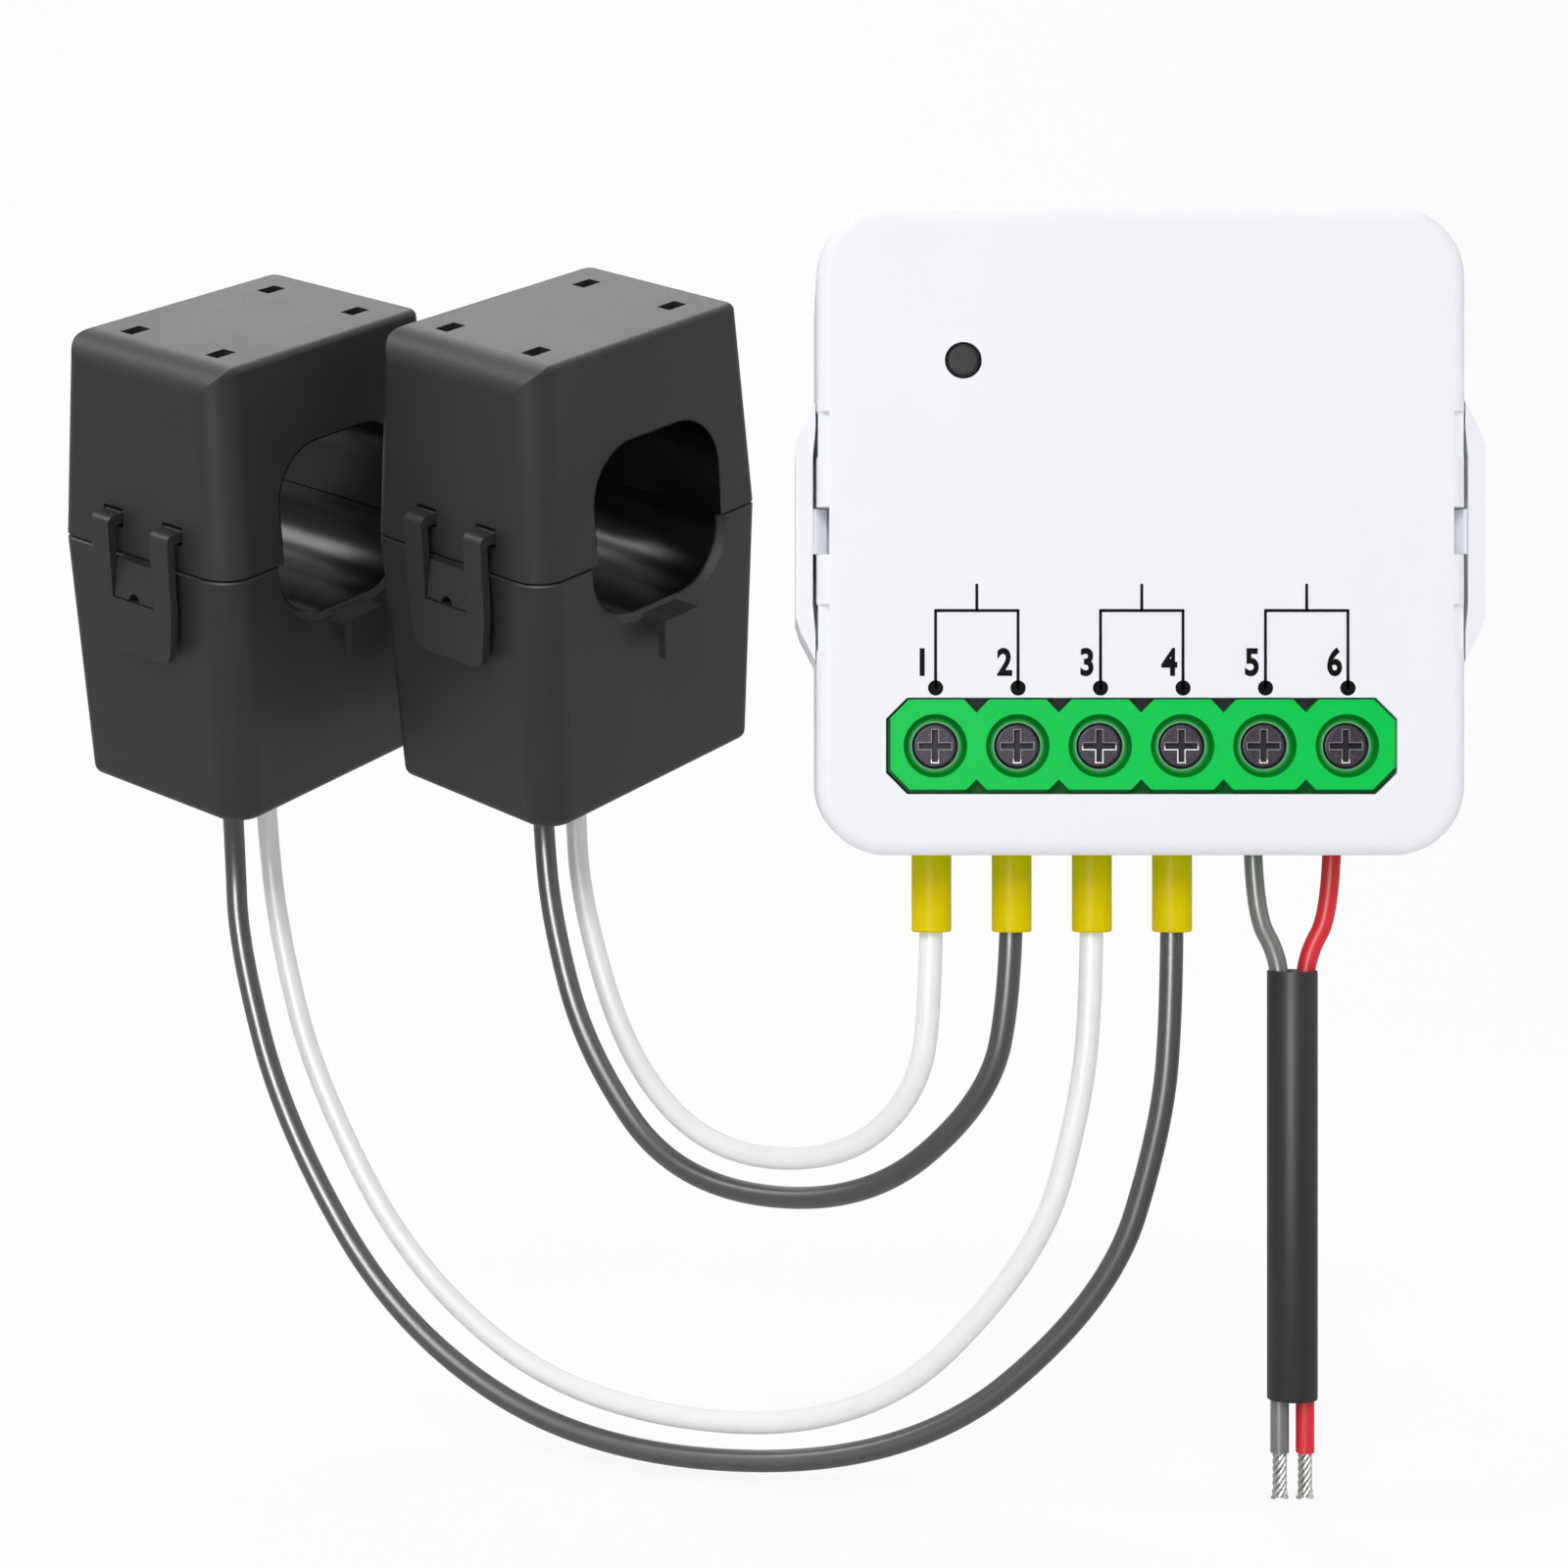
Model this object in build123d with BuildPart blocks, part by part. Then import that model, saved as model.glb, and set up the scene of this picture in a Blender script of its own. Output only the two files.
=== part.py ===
from build123d import *
import math
import os

os.makedirs("parts", exist_ok=True)

# Millimetres. X to the right, Y away from the viewer, Z up. The origin is the middle of
# the meter module's rear face, and its printed front faces -Y.

# Meter module: the two halves of its case
case_width = 46.0
case_height = 46.0
case_depth = 18.0
case_corner = 5.0
case_wall = 1.6
face_wall = 1.6
rear_wall = 1.8
face_round = 1.0
rear_round = 0.6
cover_depth = 5.0
seam_gap = 0.1
lip_width = 0.75
lip_height = 1.4
lip_root = 2.0
lip_play = 0.08
overrun = 4.0

# Side straps that clip the cover on
strap_reach = 1.46
strap_root = 0.8
strap_top = 9.3
strap_bend = 7.2
strap_bend_reach = 1.1
strap_flat = 6.1
strap_back = 3.0
strap_set_back = 0.7
strap_play = 0.05
strap_slit = 0.25
strap_slit_half = 5.2
strap_slit_taper = 2.1
tooth_half = 1.6
tooth_reach = 0.75
tooth_height = 1.3
tooth_slope = 0.5
notch_play = 0.1
notch_depth = 0.93
notch_floor = 2.5
recess_length = 3.25
recess_depth = 0.45
recess_set_in = 0.12

# Screw terminals
terminal_count = 6
sensor_terminals = 4
terminal_pitch = 5.83
terminal_end = 3.385
block_low_edge = 4.46
block_face_height = 6.59
block_set_back = 0.2
block_end_chamfer = 1.5
block_notch_width = 1.8
block_notch_depth = 0.95
block_under = 0.3
block_over = 1.05
block_play = 0.1
window_play = 0.12
cell_width = 4.5
cell_low_wall = 4.7
cell_top_wall = 0.6
funnel_mouth = 4.5
funnel_throat = 3.75
funnel_depth = 0.55
head_play = 0.1
shaft_play = 0.1
ledge = 0.35
entry_mouth = 3.5
entry_throat = 2.5
entry_depth = 1.4

# Terminal screws, the cages that they lift and the contacts inside them
screw_head = 3.1
screw_head_height = 0.9
screw_recess = 0.6
screw_head_round = 0.18
screw_shaft = 2.0
screw_shaft_end = 0.1
screw_cross_span = 2.3
screw_cross_arm = 0.44
screw_cross_depth = 0.55
cage_width = 4.2
cage_length = 4.4
cage_side = 0.6
cage_top_bar = 1.3
cage_low_bar = 0.75
cage_play = 0.05
cage_travel = 1.1
cage_stop = 0.1
cage_round = 0.35
thread_play = 0.04
contact_width = 2.4
contact_thickness = 0.5
contact_leg_width = 1.0
contact_tail = 0.8
contact_play = 0.05
leg_hole_play = 0.1
wire_space = 1.5
bar_play = 0.03

# Push button, at the upper left of the face
button_inset = 10.39
button_drop = 10.98
button_cap = 2.4
button_play = 0.11
button_round = 0.3
button_flange = 3.6
button_flange_height = 0.8
button_neck = 3.1
button_travel = 0.4
button_slack = 0.05
button_stem = 1.8
button_boss = 5.2
button_boss_play = 0.15
button_boss_length = 4.2
shoulder_play = 0.05

# Boards and what is soldered to them
board_gap = 1.2
board_thickness = 1.6
board_margin = 0.3
board_corner = 3.6
peg_diameter = 1.7
peg_hole_play = 0.05
peg_boss = 3.6
peg_inset = 4.3
peg_rise = 1.1
switch_body = 6.0
switch_body_height = 3.5
switch_plunger = 3.4
switch_plunger_height = 1.5
switch_round = 0.4
radio_width = 20.0
radio_height = 12.0
radio_thickness = 0.8
radio_inset = 3.2
radio_pad = 1.0
shield_width = 11.0
shield_height = 9.4
shield_depth = 2.0
shield_wall = 0.2
shield_round = 0.5
chip_length = 9.9
chip_width = 3.9
chip_height = 1.5
chip_chamfer = 0.25
chip_leads = 8
chip_lead_pitch = 1.27
chip_lead_width = 0.42
chip_lead_reach = 1.05
chip_lead_thickness = 0.2
chip_lead_rise = 0.8
chip_foot = 0.5
chip_spot_shares = (-0.024, 0.012)
capacitor_diameter = 6.3
capacitor_height = 8.6
capacitor_round = 0.5
capacitor_groove = 0.35
capacitor_groove_height = 1.1
capacitor_spacing = 7.0
capacitor_spot_shares = (-0.32, -0.083)
inductor_diameter = 6.0
inductor_height = 6.8
inductor_flange = 1.0
inductor_waist = 4.6
inductor_spot_shares = (-0.38, 0.12)
fuse_diameter = 3.0
fuse_length = 7.5
fuse_round = 0.6
fuse_lead = 0.6
fuse_span = 10.4
fuse_bend = 0.8
fuse_lift = 0.4
fuse_spot_shares = (0.33, -0.17)
varistor_diameter = 7.0
varistor_thickness = 3.2
varistor_round = 0.8
varistor_lead = 0.6
varistor_lead_span = 4.0
varistor_lift = 1.2
varistor_spot_shares = (0.38, -0.036)

# Ferrules on the four sensor leads
sleeve_diameter = 2.9
sleeve_length = 5.9
sleeve_gap = 0.08
sleeve_bore_play = 0.06
sleeve_round = 0.12
sleeve_lead_depth = 3.6
pin_diameter = 1.5
pin_inset = 0.25
lead_diameter = 1.7

# Mains lead: two insulated cores in a sheath, cut off and bared at the far end
core_diameter = 1.36
core_spacing = 1.84
core_inset = 1.6
core_bend = 27.1
core_join = 30.6
core_end = 66.5
sheath_diameter = 3.65
sheath_top = 31.5
sheath_end = 62.6
sheath_mouth = 3.38
sheath_mouth_depth = 1.2
sheath_bore_play = 0.06
bare_diameter = 0.85
bare_end = 69.9
bend_share = 0.45

# Split-core clamp, in its own frame: X from the latch to the hinge, Y through the window
# away from the front, Z up, and the two halves parted at Z = 0
clamp_width = 24.65
clamp_thickness = 18.0
clamp_corner = 2.6
clamp_small_corner = 1.0
upper_height = 16.4
upper_draft = 3.5
lower_height = 20.9
lower_draft = 1.5
parting_gap = 0.1
edge_break = 0.14
top_round = 0.6
bottom_round = 0.9
bevel = 2.45
bevel_crown_share = 0.42
side_wall = 1.0
wide_wall = 1.25
top_wall = 1.3
floor_wall = 1.2

# Clamp: the window for the conductor, and what stands on the outside
bore_side = 5.3
bore_height = 14.14
bore_corner = 4.5
bore_shift = 0.93
bore_rise = 1.81
bore_wall = 0.9
rim_chamfer = 0.7
slot_length = 2.0
slot_width = 1.3
slot_side = 4.9
slot_depth_spread = 9.1
lug_width = 3.85
lug_reach = 2.15
lug_ledge = 0.75
lug_drop = 3.2
lug_flange = 0.7
lug_below_bore = 0.29
exit_shift = 2.35
exit_spacing = 3.8
exit_play = 0.14

# Clamp: latch frame, its pockets in the upper half and the wedge on the lower half
latch_stand_off = 1.33
latch_thickness = 0.7
latch_top = 3.3
latch_root = 0.8
latch_root_reach = 2.4
latch_bead = 1.0
latch_bead_inset = 0.6
latch_half_width = 4.15
latch_low_half_width = 3.62
latch_window_half = 2.25
latch_window_low = 3.15
latch_low = 7.5
latch_corner = 1.0
latch_bend = 0.6
pocket_play = 0.1
pocket_rise = 0.35
pocket_gap = 0.2
pocket_wall = 1.0
wedge_play = 0.1
wedge_top = 0.1
wedge_low_set_back = 0.1
wedge_notch = 0.57

# Clamp: hinge
hinge_stand_off = 1.23
hinge_pin_diameter = 1.2
hinge_pin_play = 0.05
knuckle_diameter = 2.7
knuckle_middle = 5.0
knuckle_outer = 2.2
knuckle_gap = 0.12
web_root = 0.6
web_drop = 2.4

# Clamp: magnetic core, its winding and the spring behind it
core_play = 0.15
core_stack = 10.0
core_leg = 1.7
core_bar = 2.4
core_drop = 11.8
coil_wall = 0.7
coil_flange = 0.8
coil_depth = 1.0
coil_play = 0.1
flange_margin = 0.12
rest_width = 1.2
rest_length = 6.0
rest_play = 0.05
spring_inset = 0.525
spring_width = 5.0
spring_thickness = 0.25
spring_play = 0.06

# Where the clamps are held: how far their centres lie left of the case, behind its rear
# face and above its middle, with their turns in degrees
right_clamp_out = 19.23
right_clamp_back = 6.0
right_clamp_up = 3.1
right_clamp_turns = {"yaw": 49.7, "lean": 26.4, "roll": 0.0}
left_clamp_out = 44.81
left_clamp_back = 10.96
left_clamp_up = 3.5
left_clamp_turns = {"yaw": 55.8, "lean": 25.6, "roll": 2.1}


def level(height):
    """A drawing plane parallel to the rear face, this far in front of it."""
    return Plane.XZ.offset(height)


def at_drop(drop):
    """A drawing plane that looks down, this far below the middle."""
    return Plane(origin=(0, 0, -drop), x_dir=(1, 0, 0), z_dir=(0, 0, -1))


def finish_piece(piece, name):
    """Label a finished piece and write it out."""
    piece.part.label = name
    export_step(piece.part, f"parts/{name}.step")


# Heights in front of the rear face
housing_depth = case_depth - cover_depth
board_back = rear_wall + board_gap
board_front = board_back + board_thickness
face_back = case_depth - face_wall
block_face = case_depth - block_set_back
block_front = face_back - block_play
head_top = block_face - screw_recess
head_low = head_top - screw_head_height
cell_ceiling = head_low - ledge
cage_top = cell_ceiling - cage_play
cage_bar = cage_top - cage_top_bar
contact_top = cage_bar - cage_travel - cage_stop
contact_low = contact_top - contact_thickness
wire_level = contact_low - bar_play - wire_space / 2
cage_floor = contact_low - 2 * bar_play - wire_space
cage_bottom = cage_floor - cage_low_bar

# The terminals, seen from the front
block_half = (terminal_count - 1) * terminal_pitch / 2 + terminal_end
face_low = block_low_edge - case_height / 2
face_top = face_low + block_face_height
screw_line = (face_low + face_top) / 2
block_low = block_under - case_height / 2
block_top = face_top + block_over
cell_low = block_low + cell_low_wall
cell_top = block_top - cell_top_wall
contact_end = cell_top - contact_play
spots = [(i - (terminal_count - 1) / 2) * terminal_pitch for i in range(terminal_count)]
lead_spots = spots[:sensor_terminals]
neutral_spot, live_spot = spots[-2:]
button_spot = (button_inset - case_width / 2, case_height / 2 - button_drop)
board_width = case_width - 2 * (case_wall + board_margin)
board_height = case_height - 2 * (case_wall + board_margin)
peg_spread = (case_width - 2 * peg_inset, case_height - 2 * peg_inset)


def on_board(shares):
    """A place on the board, from its shares of the board's width and height."""
    return shares[0] * board_width, shares[1] * board_height


# Rear housing: a tray with a lip, two straps and four pegs for the board
lip_inset = case_wall - lip_width
with BuildPart() as rear_housing:
    with BuildSketch(level(0)):
        RectangleRounded(case_width, case_height, case_corner)
    extrude(amount=housing_depth)
    fillet(rear_housing.faces().sort_by(Axis.Y)[-1].edges(), rear_round)
    with BuildSketch(level(rear_wall)):
        RectangleRounded(case_width - 2 * case_wall, case_height - 2 * case_wall, case_corner - case_wall)
    extrude(amount=housing_depth, mode=Mode.SUBTRACT)
    with BuildSketch(level(housing_depth - lip_root)) as lip_ring:
        RectangleRounded(case_width - 2 * lip_inset, case_height - 2 * lip_inset, case_corner - lip_inset)
        offset(amount=-lip_width, mode=Mode.SUBTRACT)
    extrude(amount=lip_root + lip_height)
    # The straps, cut free of the cover beyond the housing's own depth
    with BuildSketch(level(strap_back)):
        with BuildLine():
            Polyline(
                (case_width / 2 - strap_root, strap_top),
                (case_width / 2, strap_top),
                (case_width / 2 + strap_bend_reach, strap_bend),
                (case_width / 2 + strap_reach, strap_flat),
                (case_width / 2 + strap_reach, -strap_flat),
                (case_width / 2 + strap_bend_reach, -strap_bend),
                (case_width / 2, -strap_top),
                (case_width / 2 - strap_root, -strap_top),
                close=True,
            )
        make_face()
        mirror(about=Plane.YZ)
    extrude(amount=case_depth - strap_set_back - strap_back)
    with BuildSketch(level(housing_depth)):
        with BuildLine():
            Polyline(
                (case_width / 2 - strap_root, strap_top),
                (case_width / 2 + strap_play, strap_top),
                (case_width / 2 + strap_play, strap_slit_half + strap_slit_taper),
                (case_width / 2 + strap_slit, strap_slit_half),
                (case_width / 2 + strap_slit, -strap_slit_half),
                (case_width / 2 + strap_play, -strap_slit_half - strap_slit_taper),
                (case_width / 2 + strap_play, -strap_top),
                (case_width / 2 - strap_root, -strap_top),
                close=True,
            )
        make_face()
        mirror(about=Plane.YZ)
    extrude(amount=cover_depth, mode=Mode.SUBTRACT)
    # A tooth on each strap bridges the slit and hooks over the floor of the cover's notch
    tooth_low = case_depth - notch_floor + strap_play
    with BuildSketch(Plane.XY):
        with BuildLine():
            Polyline(
                (case_width / 2 - tooth_reach, -tooth_low),
                (case_width / 2 + strap_slit + strap_play, -tooth_low),
                (case_width / 2 + strap_slit + strap_play, -tooth_low - tooth_height),
                (case_width / 2, -tooth_low - tooth_height),
                (case_width / 2 - tooth_reach, -tooth_low - tooth_slope),
                close=True,
            )
        make_face()
        mirror(about=Plane.YZ)
    extrude(amount=tooth_half, both=True)
    # The lower wall is open for the terminal block
    with BuildSketch(level(board_front)):
        with Locations((0, -case_height / 2)):
            Rectangle(2 * (block_half + block_play), 2 * (case_wall + lip_play))
    extrude(amount=case_depth, mode=Mode.SUBTRACT)
    with BuildSketch(level(rear_wall)):
        with GridLocations(*peg_spread, 2, 2):
            Circle(peg_boss / 2)
    extrude(amount=board_gap)
    with BuildSketch(level(board_back)):
        with GridLocations(*peg_spread, 2, 2):
            Circle(peg_diameter / 2)
    extrude(amount=peg_rise)
finish_piece(rear_housing, "rear_housing")

# Front cover: the printed face with its skirt, the terminals' window and the button's guide
rebate = lip_inset - lip_play
shoulder = case_depth - button_neck + shoulder_play
with BuildPart() as front_cover:
    with BuildSketch(level(housing_depth + seam_gap)):
        RectangleRounded(case_width, case_height, case_corner)
    extrude(amount=cover_depth - seam_gap)
    fillet(front_cover.faces().sort_by(Axis.Y)[0].edges(), face_round)
    with BuildSketch(level(housing_depth)):
        RectangleRounded(case_width - 2 * case_wall, case_height - 2 * case_wall, case_corner - case_wall)
    extrude(amount=cover_depth - face_wall, mode=Mode.SUBTRACT)
    with BuildSketch(level(housing_depth)):
        RectangleRounded(case_width - 2 * rebate, case_height - 2 * rebate, case_corner - rebate)
    extrude(amount=lip_height + lip_play, mode=Mode.SUBTRACT)
    with BuildSketch(level(face_back)) as window:
        with Locations((0, screw_line)):
            Rectangle(2 * (block_half + window_play), block_face_height + 2 * window_play)
        chamfer(window.vertices(), block_end_chamfer)
    extrude(amount=overrun, mode=Mode.SUBTRACT)
    with BuildSketch(level(housing_depth)):
        with Locations((0, -case_height / 2)):
            Rectangle(2 * (block_half + block_play), 2 * (case_wall + lip_play))
    extrude(amount=cover_depth - face_wall, mode=Mode.SUBTRACT)
    # Notches for the straps' teeth, with a shallow recess beyond each end of the tongues
    with BuildSketch(level(case_depth - notch_floor)):
        with Locations((case_width / 2, 0), (-case_width / 2, 0)):
            Rectangle(2 * notch_depth, 2 * (tooth_half + notch_play))
    extrude(amount=overrun, mode=Mode.SUBTRACT)
    with BuildSketch(level(case_depth - recess_depth)):
        with GridLocations(case_width, 2 * strap_slit_half + recess_length, 2, 2):
            Rectangle(2 * notch_depth, recess_length)
    extrude(amount=overrun, mode=Mode.SUBTRACT)
    with BuildSketch(level(housing_depth + lip_height)):
        with GridLocations(case_width, 2 * strap_slit_half + recess_length, 2, 2):
            Rectangle(2 * recess_set_in, recess_length)
    extrude(amount=cover_depth, mode=Mode.SUBTRACT)
    # The button's guide: a boss with a shoulder that stops its flange
    with BuildSketch(level(face_back - button_boss_length)):
        with Locations(button_spot):
            Circle(button_boss / 2)
    extrude(amount=button_boss_length)
    with BuildSketch(level(face_back - button_boss_length)):
        with Locations(button_spot):
            Circle(button_cap / 2 + button_play)
    extrude(amount=button_boss_length + overrun, mode=Mode.SUBTRACT)
    with BuildSketch(level(face_back - button_boss_length)):
        with Locations(button_spot):
            Circle(button_flange / 2 + button_boss_play)
    extrude(amount=shoulder - face_back + button_boss_length, mode=Mode.SUBTRACT)
finish_piece(front_cover, "front_cover")

# Push button: cap, flange and stem, with the switch that it presses
switch_top = board_front + switch_body_height + switch_plunger_height
flange_top = case_depth - button_neck
stem_end = switch_top + button_travel + button_slack
with BuildPart() as reset_button:
    with BuildSketch(level(stem_end)):
        with Locations(button_spot):
            Circle(button_stem / 2)
    extrude(amount=flange_top - stem_end)
    with BuildSketch(level(flange_top - button_flange_height)):
        with Locations(button_spot):
            Circle(button_flange / 2)
    extrude(amount=button_flange_height)
    with BuildSketch(level(flange_top)):
        with Locations(button_spot):
            Circle(button_cap / 2)
    extrude(amount=button_neck)
    fillet(reset_button.faces().sort_by(Axis.Y)[0].edges(), button_round)
finish_piece(reset_button, "reset_button")

with BuildPart() as tact_switch:
    with BuildSketch(level(board_front)):
        with Locations(button_spot):
            RectangleRounded(switch_body, switch_body, switch_round)
    extrude(amount=switch_body_height)
    with BuildSketch(level(board_front + switch_body_height)):
        with Locations(button_spot):
            Circle(switch_plunger / 2)
    extrude(amount=switch_plunger_height)
    fillet(tact_switch.faces().sort_by(Axis.Y)[0].edges(), switch_round)
finish_piece(tact_switch, "tact_switch")

# Main board, with holes for the pegs and for the contacts' legs
leg_line = contact_end - contact_thickness / 2
with BuildPart() as main_board:
    with BuildSketch(level(board_back)):
        RectangleRounded(board_width, board_height, board_corner)
        with GridLocations(*peg_spread, 2, 2):
            Circle(peg_diameter / 2 + peg_hole_play, mode=Mode.SUBTRACT)
        with Locations(*[(spot, leg_line) for spot in spots]):
            Rectangle(
                contact_leg_width + 2 * leg_hole_play, contact_thickness + 2 * leg_hole_play, mode=Mode.SUBTRACT
            )
    extrude(amount=board_thickness)
finish_piece(main_board, "main_board")

# Radio board at the upper right, with its screening can
radio_spot = ((board_width - radio_width) / 2 - radio_inset, (board_height - radio_height) / 2 - radio_inset)
radio_front = board_front + radio_thickness
shield_spot = (radio_spot[0] - (radio_width - shield_width) / 2 + radio_pad, radio_spot[1])
with BuildPart() as radio_board:
    with BuildSketch(level(board_front)):
        with Locations(radio_spot):
            Rectangle(radio_width, radio_height)
    extrude(amount=radio_thickness)
finish_piece(radio_board, "radio_board")

with BuildPart() as radio_shield:
    with BuildSketch(level(radio_front)):
        with Locations(shield_spot):
            RectangleRounded(shield_width, shield_height, shield_round)
    extrude(amount=shield_depth)
    with BuildSketch(level(radio_front)):
        with Locations(shield_spot):
            RectangleRounded(
                shield_width - 2 * shield_wall, shield_height - 2 * shield_wall, shield_round - shield_wall
            )
    extrude(amount=shield_depth - shield_wall, mode=Mode.SUBTRACT)
finish_piece(radio_shield, "radio_shield")

# Metering chip: a moulded body with a row of bent leads on each long side
chip_spot = on_board(chip_spot_shares)
chip_reach = chip_width + 2 * chip_lead_reach
with BuildPart() as metering_chip:
    with BuildSketch(level(board_front)):
        with Locations(chip_spot):
            Rectangle(chip_length, chip_width)
    extrude(amount=chip_height)
    chamfer(metering_chip.faces().sort_by(Axis.Y)[0].edges(), chip_chamfer)
    with BuildSketch(level(board_front)):
        with Locations(chip_spot):
            with GridLocations(chip_lead_pitch, chip_reach - chip_foot, chip_leads, 2):
                Rectangle(chip_lead_width, chip_foot)
    extrude(amount=chip_lead_thickness)
    with BuildSketch(level(board_front)):
        with Locations(chip_spot):
            with GridLocations(chip_lead_pitch, chip_reach - 2 * chip_foot, chip_leads, 2):
                Rectangle(chip_lead_width, chip_lead_thickness)
    extrude(amount=chip_lead_rise)
    with BuildSketch(level(board_front + chip_lead_rise - chip_lead_thickness)):
        with Locations(chip_spot):
            with GridLocations(chip_lead_pitch, 0, chip_leads, 1):
                Rectangle(chip_lead_width, chip_reach - 2 * chip_foot)
    extrude(amount=chip_lead_thickness)
finish_piece(metering_chip, "metering_chip")

# Two smoothing capacitors, each with the groove that holds its seal
with BuildPart() as power_capacitors:
    with BuildSketch(level(board_front)):
        with Locations(on_board(capacitor_spot_shares)):
            with GridLocations(capacitor_spacing, 0, 2, 1):
                Circle(capacitor_diameter / 2)
    extrude(amount=capacitor_height)
    fillet(power_capacitors.faces().sort_by(Axis.Y)[:2].edges(), capacitor_round)
    with BuildSketch(level(board_front + capacitor_groove_height)):
        with Locations(on_board(capacitor_spot_shares)):
            with GridLocations(capacitor_spacing, 0, 2, 1):
                Circle(capacitor_diameter / 2)
                Circle(capacitor_diameter / 2 - capacitor_groove, mode=Mode.SUBTRACT)
    extrude(amount=capacitor_groove, mode=Mode.SUBTRACT)
finish_piece(power_capacitors, "power_capacitors")

# Drum-shaped inductor
with BuildPart() as power_inductor:
    with BuildSketch(level(board_front)):
        with Locations(on_board(inductor_spot_shares)):
            Circle(inductor_waist / 2)
    extrude(amount=inductor_height)
    for base in (board_front, board_front + inductor_height - inductor_flange):
        with BuildSketch(level(base)):
            with Locations(on_board(inductor_spot_shares)):
                Circle(inductor_diameter / 2)
        extrude(amount=inductor_flange)
finish_piece(power_inductor, "power_inductor")

# Fusible resistor, lying across the board on its two bent leads
fuse_x, fuse_z = on_board(fuse_spot_shares)
fuse_level = board_front + fuse_lift + fuse_diameter / 2
with BuildPart() as fuse_resistor:
    with BuildSketch(Plane.YZ.offset(fuse_x - fuse_length / 2)):
        with Locations((-fuse_level, fuse_z)):
            Circle(fuse_diameter / 2)
    extrude(amount=fuse_length)
    fillet(fuse_resistor.edges().filter_by(GeomType.CIRCLE), fuse_round)
    with BuildLine() as fuse_route:
        FilletPolyline(
            (fuse_x - fuse_span / 2, -board_front, fuse_z),
            (fuse_x - fuse_span / 2, -fuse_level, fuse_z),
            (fuse_x + fuse_span / 2, -fuse_level, fuse_z),
            (fuse_x + fuse_span / 2, -board_front, fuse_z),
            radius=fuse_bend,
        )
    with BuildSketch(level(board_front)):
        with Locations((fuse_x - fuse_span / 2, fuse_z)):
            Circle(fuse_lead / 2)
    sweep(path=fuse_route.line)
finish_piece(fuse_resistor, "fuse_resistor")

# Surge varistor: a disc on edge above the board, on two leads
varistor_x, varistor_z = on_board(varistor_spot_shares)
varistor_level = board_front + varistor_lift + varistor_diameter / 2
with BuildPart() as surge_varistor:
    with BuildSketch(Plane.XY.offset(varistor_z - varistor_thickness / 2)):
        with Locations((varistor_x, -varistor_level)):
            Circle(varistor_diameter / 2)
    extrude(amount=varistor_thickness)
    fillet(surge_varistor.edges().filter_by(GeomType.CIRCLE), varistor_round)
    with BuildSketch(level(board_front)):
        with Locations((varistor_x, varistor_z)):
            with GridLocations(varistor_lead_span, 0, 2, 1):
                Circle(varistor_lead / 2)
    extrude(amount=varistor_level - board_front)
finish_piece(surge_varistor, "surge_varistor")

# Terminal block: a body behind the cover and a face that fills the cover's window
funnel_flare = math.degrees(math.atan((funnel_mouth - funnel_throat) / 2 / funnel_depth))
entry_flare = math.degrees(math.atan((entry_mouth - entry_throat) / 2 / entry_depth))
with BuildPart() as terminal_block:
    with BuildSketch(level(board_front)):
        with Locations((0, (block_low + block_top) / 2)):
            Rectangle(2 * block_half, block_top - block_low)
    extrude(amount=block_front - board_front)
    with BuildSketch(level(block_front)) as block_outline:
        with Locations((0, screw_line)):
            Rectangle(2 * block_half, block_face_height)
        chamfer(block_outline.vertices(), block_end_chamfer)
        for edge, inward in ((face_top, -1), (face_low, 1)):
            with Locations(*[((left + right) / 2, edge) for left, right in zip(spots, spots[1:])]):
                Polygon(
                    (-block_notch_width / 2, 0),
                    (block_notch_width / 2, 0),
                    (0, inward * block_notch_depth),
                    align=None,
                    mode=Mode.SUBTRACT,
                )
    extrude(amount=block_face - block_front)
    # A cell for each cage, open at the back, with the screw's hole in front of it
    with BuildSketch(level(board_front)):
        with Locations(*[(spot, (cell_low + cell_top) / 2) for spot in spots]):
            Rectangle(cell_width, cell_top - cell_low)
    extrude(amount=cell_ceiling - board_front, mode=Mode.SUBTRACT)
    with BuildSketch(level(cell_ceiling)):
        with Locations(*[(spot, screw_line) for spot in spots]):
            Circle(screw_shaft / 2 + shaft_play)
    extrude(amount=overrun, mode=Mode.SUBTRACT)
    with BuildSketch(level(head_low)):
        with Locations(*[(spot, screw_line) for spot in spots]):
            Circle(screw_head / 2 + head_play)
    extrude(amount=overrun, mode=Mode.SUBTRACT)
    with BuildSketch(level(block_face - funnel_depth)):
        with Locations(*[(spot, screw_line) for spot in spots]):
            Circle(funnel_throat / 2)
    extrude(amount=funnel_depth, taper=-funnel_flare, mode=Mode.SUBTRACT)
    # Wire entries from below, each with a funnel
    with BuildSketch(at_drop(-cell_low)):
        with Locations(*[(spot, wire_level) for spot in spots]):
            Circle(entry_throat / 2)
    extrude(amount=overrun + cell_low_wall, mode=Mode.SUBTRACT)
    with BuildSketch(at_drop(-block_low - entry_depth)):
        with Locations(*[(spot, wire_level) for spot in spots]):
            Circle(entry_throat / 2)
    extrude(amount=entry_depth, taper=-entry_flare, mode=Mode.SUBTRACT)
finish_piece(terminal_block, "terminal_block")

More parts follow.
